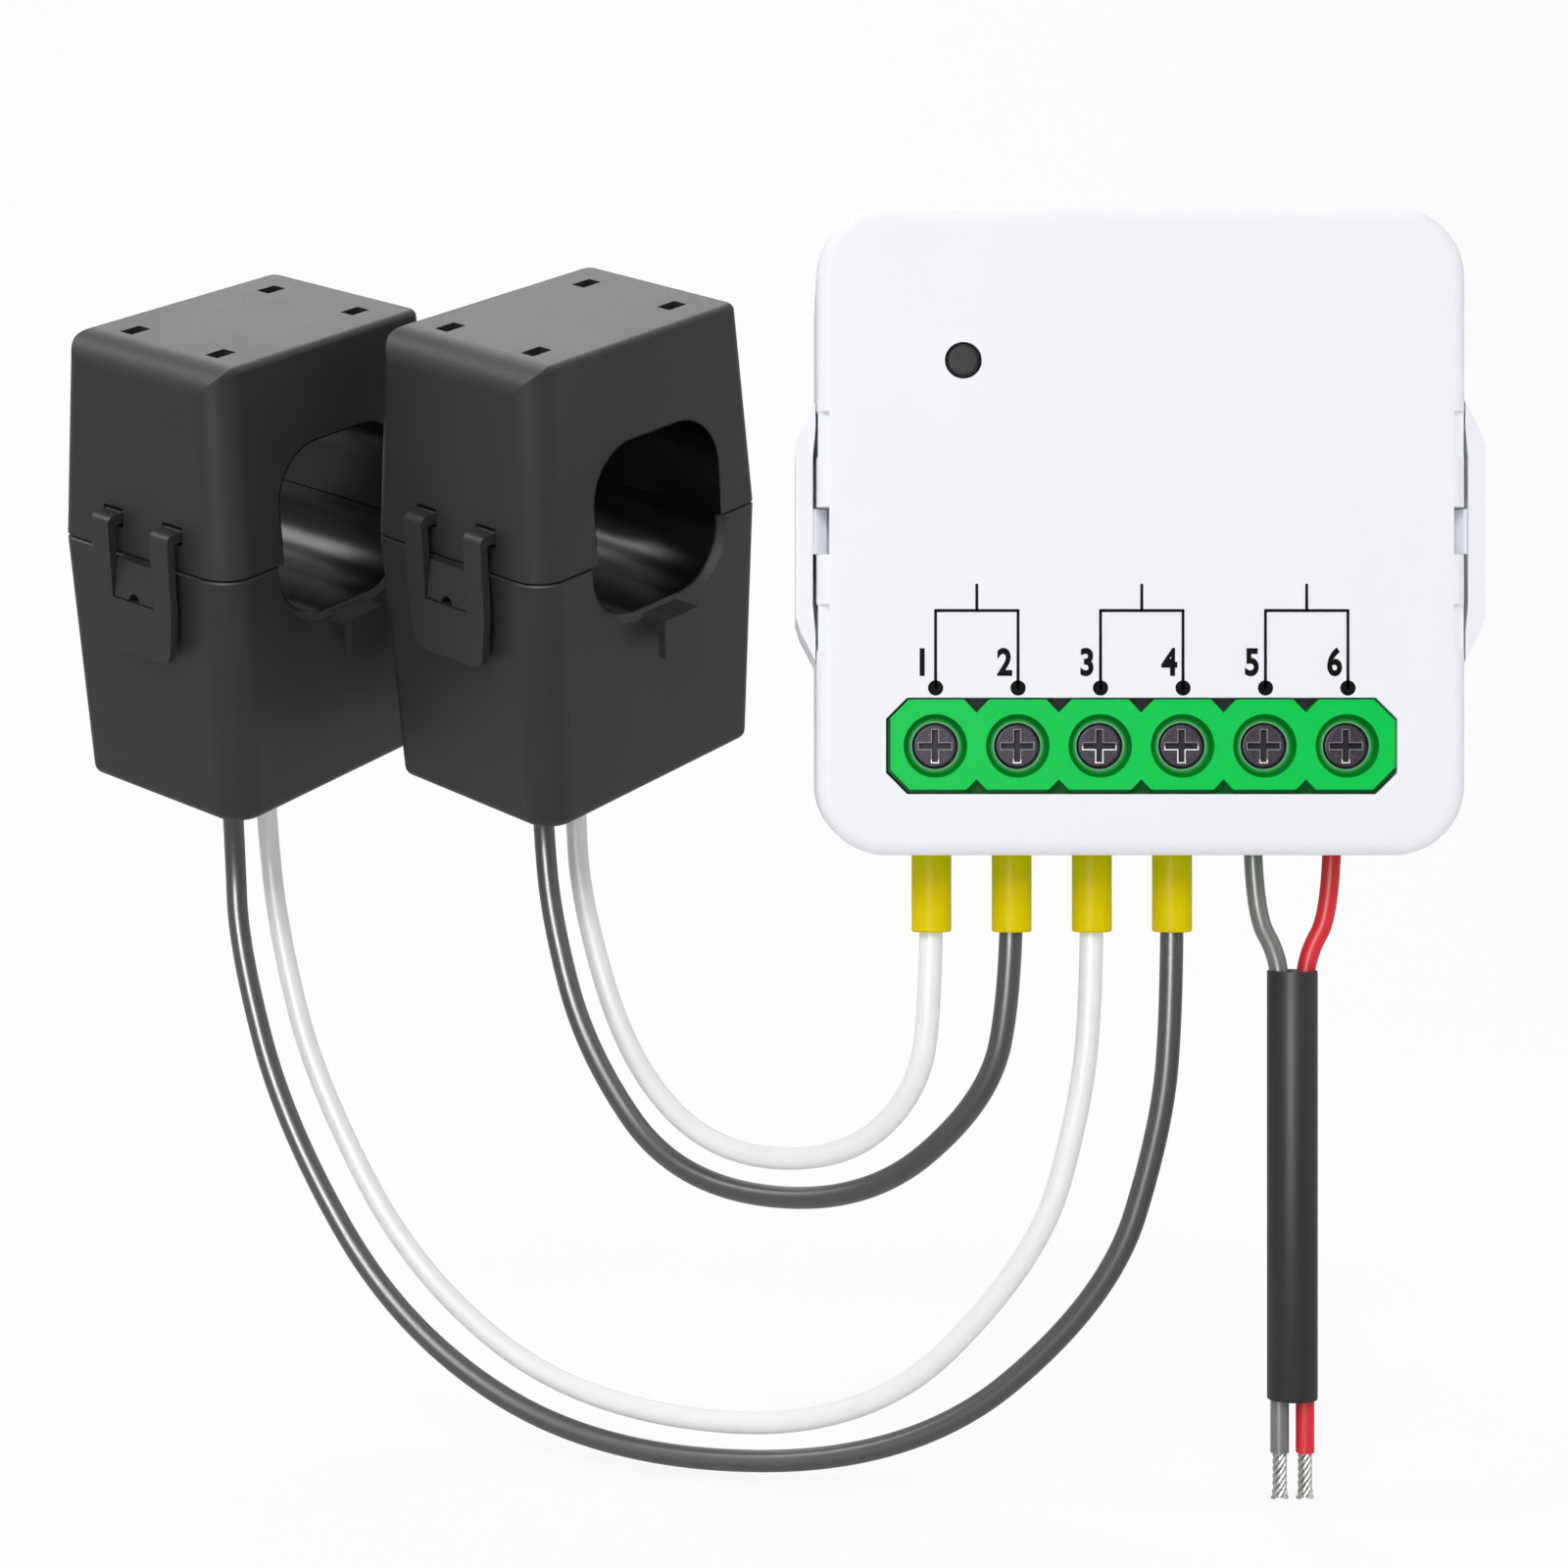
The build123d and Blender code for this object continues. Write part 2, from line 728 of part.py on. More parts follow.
# Contacts: a bar that each wire is pressed against, with a leg through the board
contact_foot = cell_low + contact_play
with BuildPart() as terminal_contacts:
    with BuildSketch(level(contact_low)):
        with Locations(*[(spot, (contact_foot + contact_end) / 2) for spot in spots]):
            Rectangle(contact_width, contact_end - contact_foot)
    extrude(amount=contact_thickness)
    with BuildSketch(level(board_back - contact_tail)):
        with Locations(*[(spot, leg_line) for spot in spots]):
            Rectangle(contact_leg_width, contact_thickness)
    extrude(amount=contact_low - board_back + contact_tail)
finish_piece(terminal_contacts, "terminal_contacts")

for number, spot in enumerate(spots, 1):
    with BuildPart() as terminal_screw:
        with BuildSketch(level(head_low)):
            with Locations((spot, screw_line)):
                Circle(screw_head / 2)
        extrude(amount=screw_head_height)
        fillet(terminal_screw.faces().sort_by(Axis.Y)[0].edges(), screw_head_round)
        with BuildSketch(level(contact_top + screw_shaft_end)):
            with Locations((spot, screw_line)):
                Circle(screw_shaft / 2)
        extrude(amount=head_low - contact_top - screw_shaft_end)
        with BuildSketch(level(head_top - screw_cross_depth)):
            with Locations((spot, screw_line)):
                Rectangle(screw_cross_span, screw_cross_arm)
                Rectangle(screw_cross_arm, screw_cross_span)
        extrude(amount=overrun, mode=Mode.SUBTRACT)
    finish_piece(terminal_screw, f"terminal_screw_{number}")

    with BuildPart() as clamp_cage:
        with BuildSketch(Plane.XY.offset(screw_line - cage_length / 2)):
            with Locations((spot, -(cage_top + cage_bottom) / 2)):
                RectangleRounded(cage_width, cage_top - cage_bottom, cage_round)
            with Locations((spot, -(cage_bar + cage_floor) / 2)):
                Rectangle(cage_width - 2 * cage_side, cage_bar - cage_floor, mode=Mode.SUBTRACT)
        extrude(amount=cage_length)
        with BuildSketch(level(cage_bar)):
            with Locations((spot, screw_line)):
                Circle(screw_shaft / 2 + thread_play)
        extrude(amount=overrun, mode=Mode.SUBTRACT)
    finish_piece(clamp_cage, f"clamp_cage_{number}")

# Ferrules: a sleeve below the case and a pin up into the cage
sleeve_top = block_low - sleeve_gap
sleeve_foot = sleeve_top - sleeve_length
lead_stop = sleeve_foot + sleeve_lead_depth
pin_top = screw_line + cage_length / 2 - pin_inset
with BuildPart() as ferrule_sleeves:
    with BuildSketch(at_drop(-sleeve_top)):
        with Locations(*[(spot, wire_level) for spot in lead_spots]):
            Circle(sleeve_diameter / 2)
    extrude(amount=sleeve_length)
    chamfer(ferrule_sleeves.faces().filter_by(GeomType.PLANE).edges(), sleeve_round)
    with BuildSketch(at_drop(-sleeve_top)):
        with Locations(*[(spot, wire_level) for spot in lead_spots]):
            Circle(pin_diameter / 2 + sleeve_bore_play)
    extrude(amount=sleeve_length, mode=Mode.SUBTRACT)
    with BuildSketch(at_drop(-lead_stop)):
        with Locations(*[(spot, wire_level) for spot in lead_spots]):
            Circle(lead_diameter / 2 + sleeve_bore_play)
    extrude(amount=overrun, mode=Mode.SUBTRACT)
finish_piece(ferrule_sleeves, "ferrule_sleeves")

with BuildPart() as ferrule_pins:
    with BuildSketch(at_drop(-pin_top)):
        with Locations(*[(spot, wire_level) for spot in lead_spots]):
            Circle(pin_diameter / 2)
    extrude(amount=pin_top - lead_stop)
finish_piece(ferrule_pins, "ferrule_pins")

# Cords. The four sensor leads run from the floors of the clamps to the ferrules.
cord_y = -wire_level
sheath_x = (neutral_spot + live_spot) / 2
first_lead, second_lead, third_lead, fourth_lead = lead_spots
cords = {
    "right_white_lead": (
        lead_diameter,
        [
            (-42.52, 14.43, -14.68),
            (-42.52, 16.74, -19.33),
            (-42.0, 15.6, -27.5),
            (-37.9, 11.5, -40.3),
            (-30.9, 4.4, -46.9),
            (-21.0, -5.6, -46.3),
            (-15.4, -11.3, -40.5),
            (first_lead, cord_y, -32.7),
            (first_lead, cord_y, lead_stop),
        ],
    ),
    "right_black_lead": (
        lead_diameter,
        [
            (-44.98, 11.84, -15.97),
            (-44.98, 14.28, -20.89),
            (-44.2, 13.1, -28.9),
            (-41.2, 11.0, -39.6),
            (-33.7, 5.6, -49.5),
            (-19.4, -4.6, -49.8),
            (-10.3, -11.0, -41.1),
            (second_lead, cord_y, -32.5),
            (second_lead, cord_y, lead_stop),
        ],
    ),
    "left_white_lead": (
        lead_diameter,
        [
            (-68.71, 19.11, -14.37),
            (-68.99, 22.74, -21.94),
            (-67.7, 21.5, -30.9),
            (-64.5, 19.8, -42.6),
            (-55.5, 15.2, -58.3),
            (-41.1, 7.7, -67.7),
            (-19.2, -3.7, -67.0),
            (-6.7, -10.2, -52.9),
            (-3.7, -11.8, -41.5),
            (third_lead, cord_y, -33.0),
            (third_lead, cord_y, lead_stop),
        ],
    ),
    "left_black_lead": (
        lead_diameter,
        [
            (-70.91, 16.28, -15.65),
            (-71.18, 19.91, -23.22),
            (-70.7, 19.1, -31.6),
            (-66.6, 17.4, -46.2),
            (-56.3, 13.0, -62.5),
            (-39.8, 6.0, -71.1),
            (-15.7, -4.2, -69.2),
            (-1.5, -10.3, -55.8),
            (2.2, -11.8, -43.0),
            (fourth_lead, cord_y, -34.0),
            (fourth_lead, cord_y, lead_stop),
        ],
    ),
    "neutral_core": (
        core_diameter,
        [
            (neutral_spot, cord_y, cell_low - core_inset),
            (neutral_spot, cord_y, -core_bend),
            (sheath_x - core_spacing / 2, cord_y, -core_join),
            (sheath_x - core_spacing / 2, cord_y, -core_end),
        ],
    ),
    "live_core": (
        core_diameter,
        [
            (live_spot, cord_y, cell_low - core_inset),
            (live_spot, cord_y, -core_bend),
            (sheath_x + core_spacing / 2, cord_y, -core_join),
            (sheath_x + core_spacing / 2, cord_y, -core_end),
        ],
    ),
}


def bend_radii(points):
    """The radius at each bend of a route, as large as the two runs beside it allow."""
    radii = []
    for before, corner, after in zip(points, points[1:], points[2:]):
        first_run = Vector(corner) - Vector(before)
        second_run = Vector(after) - Vector(corner)
        half_turn = math.radians(first_run.get_angle(second_run)) / 2
        shorter = min(first_run.length, second_run.length)
        radii.append(bend_share * shorter / math.tan(half_turn))
    return radii


for name, (diameter, points) in cords.items():
    radii = bend_radii(points)
    with BuildPart() as cord:
        with BuildLine() as route:
            FilletPolyline(*points, radius=radii)
        with BuildSketch(Plane(origin=route.line @ 0, z_dir=route.line % 0)):
            Circle(diameter / 2)
        sweep()
    finish_piece(cord, name)
    length = route.wire().length
    expected = math.pi * (diameter / 2) ** 2 * length
    print(name, "length", round(length, 1), "radii", [round(radius, 1) for radius in radii])
    print("  volume", round(cord.part.volume, 2), "section times length", round(expected, 2))

# The sheath over the two mains cores, opened out a little at its mouth
with BuildPart() as mains_sheath:
    with BuildSketch(at_drop(sheath_top)):
        with Locations((sheath_x, wire_level)):
            Circle(sheath_diameter / 2)
            with GridLocations(core_spacing, 0, 2, 1):
                Circle(core_diameter / 2 + sheath_bore_play, mode=Mode.SUBTRACT)
    extrude(amount=sheath_end - sheath_top)
    with BuildSketch(at_drop(sheath_top)):
        with Locations((sheath_x, wire_level)):
            Circle(sheath_mouth / 2)
    extrude(amount=sheath_mouth_depth, mode=Mode.SUBTRACT)
finish_piece(mains_sheath, "mains_sheath")

# Bared conductors: one length inside the terminal and one below the cut end of each core
for name, spot, side in (("neutral_strands", neutral_spot, -1), ("live_strands", live_spot, 1)):
    with BuildPart() as strands:
        with BuildSketch(at_drop(-pin_top)):
            with Locations((spot, wire_level)):
                Circle(bare_diameter / 2)
        extrude(amount=pin_top - cell_low + core_inset)
        with BuildSketch(at_drop(core_end)):
            with Locations((sheath_x + side * core_spacing / 2, wire_level)):
                Circle(bare_diameter / 2)
        extrude(amount=bare_end - core_end)
    finish_piece(strands, name)

# Split-core clamp. Its pieces are made once, in the clamp's own frame, and placed twice.
half_width = clamp_width / 2
half_thick = clamp_thickness / 2
seam = parting_gap / 2
inner_half = half_width - side_wall
inner_thick = half_thick - wide_wall
bore_width = clamp_width - 2 * bore_side
slot_spread = clamp_width - 2 * slot_side
hinge_x = half_width + hinge_stand_off
latch_x = -half_width - latch_stand_off
bore_left = bore_shift - bore_width / 2
bore_right = bore_shift + bore_width / 2
bore_floor = bore_rise - bore_height / 2
ring_corner = bore_corner + bore_wall
knuckle_edge = knuckle_middle / 2 + knuckle_gap
knuckle_far = knuckle_edge + knuckle_outer
relief_radius = knuckle_diameter / 2 + knuckle_gap


def draft_slope(draft):
    """How far a drafted wall leans in for each unit of height."""
    return math.tan(math.radians(draft))


def facing_up(height):
    """A drawing plane in the clamp's frame that looks up, at this height."""
    return Plane.XY.offset(height)


def facing_down(height):
    """A drawing plane in the clamp's frame that looks down, at this height."""
    return Plane(origin=(0, 0, height), x_dir=(1, 0, 0), z_dir=(0, 0, -1))


def round_uprights(shell):
    """Rounds a shell's four upright edges, most where its latch side meets its front."""
    uprights = shell.edges().filter_by(lambda edge: abs((edge % 0.5).Z) > 0.5)
    front, *others = sorted(uprights, key=lambda edge: (edge @ 0.5).X + (edge @ 0.5).Y)
    fillet(front, clamp_corner)
    uprights = shell.edges().filter_by(lambda edge: abs((edge % 0.5).Z) > 0.5)
    fillet([edge for edge in uprights if (edge @ 0.5).X + (edge @ 0.5).Y > -half_width], clamp_small_corner)


# The hollow of the upper half follows its bevel
with BuildPart() as upper_cavity:
    with BuildSketch(facing_up(0)):
        Rectangle(2 * inner_half, 2 * inner_thick)
    extrude(amount=upper_height - top_wall, taper=upper_draft)
    chamfer(upper_cavity.faces().sort_by(Axis.Z)[-1].edges().sort_by(Axis.X)[0], bevel)

top_half = half_width - upper_height * draft_slope(upper_draft)
bevel_start = (bevel - top_half, upper_height)
bevel_end = (-top_half - bevel * draft_slope(upper_draft), upper_height - bevel)
bevel_middle = tuple((a + b) / 2 for a, b in zip(bevel_start, bevel_end))
bevel_corner = (-top_half, upper_height)
bevel_crown = tuple(m + bevel_crown_share * (c - m) for m, c in zip(bevel_middle, bevel_corner))
root_low = latch_top - latch_root
root_end = latch_x + latch_root_reach
pocket_end = root_end + pocket_gap
pocket_height = latch_root + 2 * pocket_rise
arm_width = latch_half_width - latch_window_half
arm_spread = latch_half_width + latch_window_half
with BuildPart() as upper_shell:
    with BuildSketch(facing_up(seam)):
        Rectangle(clamp_width, clamp_thickness)
    extrude(amount=upper_height - seam, taper=upper_draft)
    round_uprights(upper_shell)
    fillet(upper_shell.faces().sort_by(Axis.Z)[-1].edges(), top_round)
    chamfer(upper_shell.faces().sort_by(Axis.Z)[0].edges(), edge_break)
    # The crowned bevel along the top edge on the latch side
    with BuildSketch(Plane.XZ):
        with BuildLine():
            ThreePointArc(bevel_start, bevel_crown, bevel_end)
            Polyline(
                bevel_end,
                (-half_width, bevel_end[1]),
                (-half_width, upper_height + bevel),
                (bevel_start[0], upper_height + bevel),
                bevel_start,
            )
        make_face()
    extrude(amount=clamp_thickness, both=True, mode=Mode.SUBTRACT)
    add(upper_cavity.part, mode=Mode.SUBTRACT)
    # A pad behind the latch's pockets, the pockets, and the four slots in the top
    pad_end = pocket_end + pocket_wall
    with BuildSketch(facing_up(root_low - pocket_rise - pocket_wall)):
        with Locations(((pad_end - inner_half) / 2, 0)):
            Rectangle(pad_end + inner_half, arm_spread + arm_width + 2 * pocket_wall)
    extrude(amount=pocket_height + 2 * pocket_wall)
    with BuildSketch(facing_up(root_low - pocket_rise)):
        with Locations(((pocket_end - half_width - overrun) / 2, 0)):
            with GridLocations(0, arm_spread, 1, 2):
                Rectangle(pocket_end + half_width + overrun, arm_width + 2 * pocket_play)
    extrude(amount=pocket_height, mode=Mode.SUBTRACT)
    with BuildSketch(facing_up(upper_height - 2 * top_wall)):
        with GridLocations(slot_spread, slot_depth_spread, 2, 2):
            Rectangle(slot_length, slot_width)
    extrude(amount=overrun, mode=Mode.SUBTRACT)
    # The window's own wall inside, then the window through both wide walls
    with BuildSketch(Plane.XZ):
        with Locations((bore_shift, bore_rise)):
            RectangleRounded(bore_width + 2 * bore_wall, bore_height + 2 * bore_wall, ring_corner)
        with Locations((0, seam + upper_height / 2)):
            Rectangle(clamp_width, upper_height, mode=Mode.INTERSECT)
    extrude(amount=inner_thick, both=True)
    with BuildSketch(Plane.XZ):
        with Locations((bore_shift, bore_rise)):
            RectangleRounded(bore_width, bore_height, bore_corner)
    extrude(amount=clamp_thickness, both=True, mode=Mode.SUBTRACT)
    # Room for the lower half's knuckles, then the middle knuckle on its web
    for side in (1, -1):
        with BuildSketch(Plane.XZ.offset(side * (knuckle_middle + knuckle_outer + 2 * knuckle_gap) / 2)):
            with Locations((hinge_x, 0)):
                Circle(relief_radius)
        extrude(amount=(knuckle_outer + 2 * knuckle_gap) / 2, both=True, mode=Mode.SUBTRACT)
    with BuildSketch(Plane.XZ):
        with BuildLine():
            Polyline(
                (half_width - web_root, seam),
                (hinge_x, seam),
                (hinge_x, knuckle_diameter / 2),
                (half_width - web_root, web_drop),
                close=True,
            )
        make_face()
        with Locations((hinge_x, 0)):
            Circle(knuckle_diameter / 2)
            Circle(hinge_pin_diameter / 2 + hinge_pin_play, mode=Mode.SUBTRACT)
    extrude(amount=knuckle_middle / 2, both=True)

# Lower half: its hollow, floor, rests for the core and holes for the leads
floor_top = floor_wall - lower_height
core_low = -core_drop - core_bar
rest_spots = (
    bore_left - bore_wall - core_play - core_leg + rest_width / 2,
    bore_right + bore_wall + core_play + core_leg - rest_width / 2,
)
rest_top = core_low - rest_play
exit_middle = -exit_shift
lug_top = bore_floor - lug_below_bore
lug_face = draft_slope(lower_draft) * -lug_top - half_thick
wedge_half = latch_window_half - wedge_play
wedge_low = wedge_play - latch_window_low
wedge_front = latch_x + wedge_low_set_back
with BuildPart() as lower_shell:
    with BuildSketch(facing_down(-seam)):
        Rectangle(clamp_width, clamp_thickness)
    extrude(amount=lower_height - seam, taper=lower_draft)
    round_uprights(lower_shell)
    fillet(lower_shell.faces().sort_by(Axis.Z)[0].edges(), bottom_round)
    chamfer(lower_shell.faces().sort_by(Axis.Z)[-1].edges(), edge_break)
    with BuildSketch(facing_down(0)):
        Rectangle(2 * inner_half, 2 * inner_thick)
    extrude(amount=-floor_top, taper=lower_draft, mode=Mode.SUBTRACT)
    with BuildSketch(facing_up(floor_top)):
        for rest_spot in rest_spots:
            with Locations((rest_spot, 0)):
                Rectangle(rest_width, rest_length)
    extrude(amount=rest_top - floor_top)
    with BuildSketch(facing_down(floor_top + floor_wall)):
        with Locations((exit_middle, 0)):
            with GridLocations(exit_spacing, 0, 2, 1):
                Circle(lead_diameter / 2 + exit_play)
    extrude(amount=overrun, mode=Mode.SUBTRACT)
    with BuildSketch(Plane.XZ):
        with Locations((bore_shift, bore_rise)):
            RectangleRounded(bore_width + 2 * bore_wall, bore_height + 2 * bore_wall, ring_corner)
        with Locations((0, -seam - lower_height / 2)):
            Rectangle(clamp_width, lower_height, mode=Mode.INTERSECT)
    extrude(amount=inner_thick, both=True)
    with BuildSketch(Plane.XZ):
        with Locations((bore_shift, bore_rise)):
            RectangleRounded(bore_width, bore_height, bore_corner)
    extrude(amount=clamp_thickness, both=True, mode=Mode.SUBTRACT)
    with BuildSketch(Plane(origin=(0, -half_thick, 0), x_dir=(1, 0, 0), z_dir=(0, 1, 0))):
        with Locations((bore_shift, -bore_rise)):
            RectangleRounded(bore_width + 2 * rim_chamfer, bore_height + 2 * rim_chamfer, bore_corner + rim_chamfer)
    extrude(amount=rim_chamfer, taper=math.degrees(math.atan(1)), mode=Mode.SUBTRACT)
    # Lug for a cable tie below the window
    with BuildSketch(Plane.YZ.offset(bore_shift - lug_width / 2)):
        with BuildLine():
            Polyline(
                (lug_face + wide_wall / 2, lug_top),
                (lug_face - lug_reach, lug_top),
                (lug_face - lug_reach, lug_top - lug_drop),
                (lug_face - lug_reach + lug_flange, lug_top - lug_drop),
                (lug_face - lug_reach + lug_flange, lug_top - lug_ledge),
                (lug_face + wide_wall / 2, lug_top - lug_ledge),
                close=True,
            )
        make_face()
    extrude(amount=lug_width)
    # Wedge that the latch hooks under, with an arched notch in its lower edge
    with BuildSketch(Plane.XZ):
        with BuildLine():
            Polyline(
                (side_wall / 2 - half_width, -wedge_top),
                (latch_x + latch_thickness, -wedge_top),
                (wedge_front, wedge_low),
                (side_wall / 2 - half_width, wedge_low),
                close=True,
            )
        make_face()
    extrude(amount=wedge_half, both=True)
    with BuildSketch(Plane.YZ.offset(latch_x)):
        with Locations((0, wedge_low)):
            Circle(wedge_notch)
    extrude(amount=latch_stand_off, mode=Mode.SUBTRACT)
    # Room for the upper half's knuckle, then the two outer knuckles on their webs
    with BuildSketch(Plane.XZ):
        with Locations((hinge_x, 0)):
            Circle(relief_radius)
    extrude(amount=knuckle_edge, both=True, mode=Mode.SUBTRACT)
    for side in (1, -1):
        with BuildSketch(Plane.XZ.offset(side * (knuckle_edge + knuckle_far) / 2)):
            with BuildLine():
                Polyline(
                    (half_width - web_root, -seam),
                    (hinge_x, -seam),
                    (hinge_x, -knuckle_diameter / 2),
                    (half_width - web_root, -web_drop),
                    close=True,
                )
            make_face()
            with Locations((hinge_x, 0)):
                Circle(knuckle_diameter / 2)
                Circle(hinge_pin_diameter / 2 + hinge_pin_play, mode=Mode.SUBTRACT)
        extrude(amount=knuckle_outer / 2, both=True)

with BuildPart() as hinge_pin:
    with BuildSketch(Plane.XZ):
        with Locations((hinge_x, 0)):
            Circle(hinge_pin_diameter / 2)
    extrude(amount=knuckle_far, both=True)

# Latch: a plate with two arms, whose bent ends pivot on round beads in the upper half's pockets
with BuildPart() as latch_frame:
    with BuildSketch(Plane.XZ):
        with BuildLine():
            Polyline(
                (latch_x, -latch_low),
                (latch_x + latch_thickness, -latch_low),
                (latch_x + latch_thickness, root_low),
                (root_end, root_low),
                (root_end, latch_top),
                (latch_x, latch_top),
                close=True,
            )
        make_face()
        with Locations((root_end - latch_bead_inset, latch_top - latch_root / 2)):
            Circle(latch_bead / 2)
    extrude(amount=latch_half_width, both=True)
    fillet(latch_frame.edges().filter_by(Axis.Y).group_by(Axis.Z)[-1].sort_by(Axis.X)[0], latch_bend)
    with BuildSketch(Plane.YZ.offset(latch_x - overrun)):
        with Locations((0, (latch_top + overrun - latch_window_low) / 2)):
            Rectangle(2 * latch_window_half, latch_top + overrun + latch_window_low)
    extrude(amount=3 * overrun, mode=Mode.SUBTRACT)
    with BuildSketch(Plane.YZ.offset(latch_x - overrun)) as latch_outline:
        with BuildLine():
            Polyline(
                (-latch_low_half_width, -latch_low),
                (latch_low_half_width, -latch_low),
                (latch_half_width, -latch_window_low),
                (latch_half_width, latch_top + overrun),
                (-latch_half_width, latch_top + overrun),
                (-latch_half_width, -latch_window_low),
                close=True,
            )
        make_face()
        fillet(latch_outline.vertices().group_by(Axis.Y)[0], latch_corner)
    extrude(amount=3 * overrun, mode=Mode.INTERSECT)

# The two halves of the core meet face to face at the parting
leg_left = bore_left - bore_wall - core_play - core_leg
leg_right = bore_right + bore_wall + core_play + core_leg
window_top = bore_rise + bore_height / 2 + bore_wall + core_play
upper_lean = draft_slope(upper_draft) * (window_top + core_bar)
with BuildPart() as upper_core:
    with BuildSketch(Plane.XZ):
        with BuildLine():
            Polyline(
                (leg_left, seam),
                (leg_right, seam),
                (leg_right - upper_lean, window_top + core_bar),
                (leg_left + upper_lean, window_top + core_bar),
                close=True,
            )
        make_face()
        with Locations((bore_shift, bore_rise)):
            RectangleRounded(
                bore_width + 2 * (bore_wall + core_play),
                bore_height + 2 * (bore_wall + core_play),
                ring_corner + core_play,
                mode=Mode.SUBTRACT,
            )
    extrude(amount=core_stack / 2, both=True)

with BuildPart() as lower_core:
    with BuildSketch(Plane.XZ):
        with BuildLine():
            Polyline(
                (leg_left, -seam),
                (leg_left + core_leg, -seam),
                (leg_left + core_leg, -core_drop),
                (leg_right - core_leg, -core_drop),
                (leg_right - core_leg, -seam),
                (leg_right, -seam),
                (leg_right, core_low),
                (leg_left, core_low),
                close=True,
            )
        make_face()
    extrude(amount=core_stack / 2, both=True)

# The winding on its bobbin, round the lower bar of the core
coil_left = leg_left + core_leg + coil_play
coil_right = leg_right - core_leg - coil_play
coil_middle = (core_low - core_drop) / 2
tube_depth = core_stack + 2 * (core_play + coil_wall)
tube_height = core_bar + 2 * (core_play + coil_wall)
winding_grow = 2 * coil_depth
with BuildPart() as coil_bobbin:
    with BuildSketch(Plane.YZ.offset(coil_left)):
        with Locations((0, coil_middle)):
            Rectangle(tube_depth, tube_height)
    extrude(amount=coil_right - coil_left)
    flange_grow = winding_grow + 2 * flange_margin
    for flange_spot in (coil_left, coil_right - coil_flange):
        with BuildSketch(Plane.YZ.offset(flange_spot)):
            with Locations((0, coil_middle)):
                Rectangle(tube_depth + flange_grow, tube_height + flange_grow)
        extrude(amount=coil_flange)
    with BuildSketch(Plane.YZ.offset(coil_left)):
        with Locations((0, coil_middle)):
            Rectangle(core_stack + 2 * core_play, core_bar + 2 * core_play)
    extrude(amount=coil_right - coil_left, mode=Mode.SUBTRACT)

with BuildPart() as coil_winding:
    with BuildSketch(Plane.YZ.offset(coil_left + coil_flange)):
        with Locations((0, coil_middle)):
            RectangleRounded(tube_depth + winding_grow, tube_height + winding_grow, coil_depth)
            Rectangle(tube_depth, tube_height, mode=Mode.SUBTRACT)
    extrude(amount=coil_right - coil_left - 2 * coil_flange)

# Bowed leaf spring between the upper core and the roof of its half
spring_length = bore_width - 2 * spring_inset
spring_low = window_top + core_bar + spring_play
spring_high = upper_height - top_wall - spring_play - spring_thickness
with BuildPart() as core_spring:
    with BuildSketch(Plane.XZ):
        with BuildLine():
            ThreePointArc(
                (bore_shift - spring_length / 2, spring_low),
                (bore_shift, spring_high),
                (bore_shift + spring_length / 2, spring_low),
            )
            Line(
                (bore_shift + spring_length / 2, spring_low),
                (bore_shift + spring_length / 2, spring_low + spring_thickness),
            )
            ThreePointArc(
                (bore_shift + spring_length / 2, spring_low + spring_thickness),
                (bore_shift, spring_high + spring_thickness),
                (bore_shift - spring_length / 2, spring_low + spring_thickness),
            )
            Line(
                (bore_shift - spring_length / 2, spring_low + spring_thickness),
                (bore_shift - spring_length / 2, spring_low),
            )
        make_face()
    extrude(amount=spring_width / 2, both=True)

clamp_forms = {
    "lower_shell": lower_shell,
    "upper_shell": upper_shell,
    "hinge_pin": hinge_pin,
    "latch_frame": latch_frame,
    "lower_core": lower_core,
    "upper_core": upper_core,
    "coil_bobbin": coil_bobbin,
    "coil_winding": coil_winding,
    "core_spring": core_spring,
}
clamp_places = (
    ("right", right_clamp_out, right_clamp_back, right_clamp_up, right_clamp_turns),
    ("left", left_clamp_out, left_clamp_back, left_clamp_up, left_clamp_turns),
)
for side, out, back, up, turns in clamp_places:
    middle = Pos(-case_width / 2 - out, back, up)
    place = middle * Rot(Y=turns["roll"]) * Rot(X=turns["lean"]) * Rot(Z=turns["yaw"])
    for name, form in clamp_forms.items():
        with BuildPart() as clamp_piece:
            with Locations(place):
                add(form.part)
        finish_piece(clamp_piece, f"{side}_{name}")
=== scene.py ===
import math

import bpy
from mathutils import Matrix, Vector


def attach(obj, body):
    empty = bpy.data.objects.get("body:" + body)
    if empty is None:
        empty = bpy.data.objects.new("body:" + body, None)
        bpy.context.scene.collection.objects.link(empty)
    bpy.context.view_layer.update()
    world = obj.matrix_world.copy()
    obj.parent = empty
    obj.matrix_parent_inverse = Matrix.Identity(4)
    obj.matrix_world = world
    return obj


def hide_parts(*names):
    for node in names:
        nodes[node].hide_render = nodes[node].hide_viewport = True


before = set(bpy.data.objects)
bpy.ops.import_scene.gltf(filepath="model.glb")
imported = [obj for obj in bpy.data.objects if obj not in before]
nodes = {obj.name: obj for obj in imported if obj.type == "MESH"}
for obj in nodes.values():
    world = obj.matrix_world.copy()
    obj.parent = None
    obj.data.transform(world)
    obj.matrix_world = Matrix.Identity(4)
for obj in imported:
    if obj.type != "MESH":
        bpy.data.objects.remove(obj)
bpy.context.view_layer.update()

bpy.ops.object.select_all(action="DESELECT")
scene = bpy.context.scene
scene.view_settings.view_transform = "Standard"


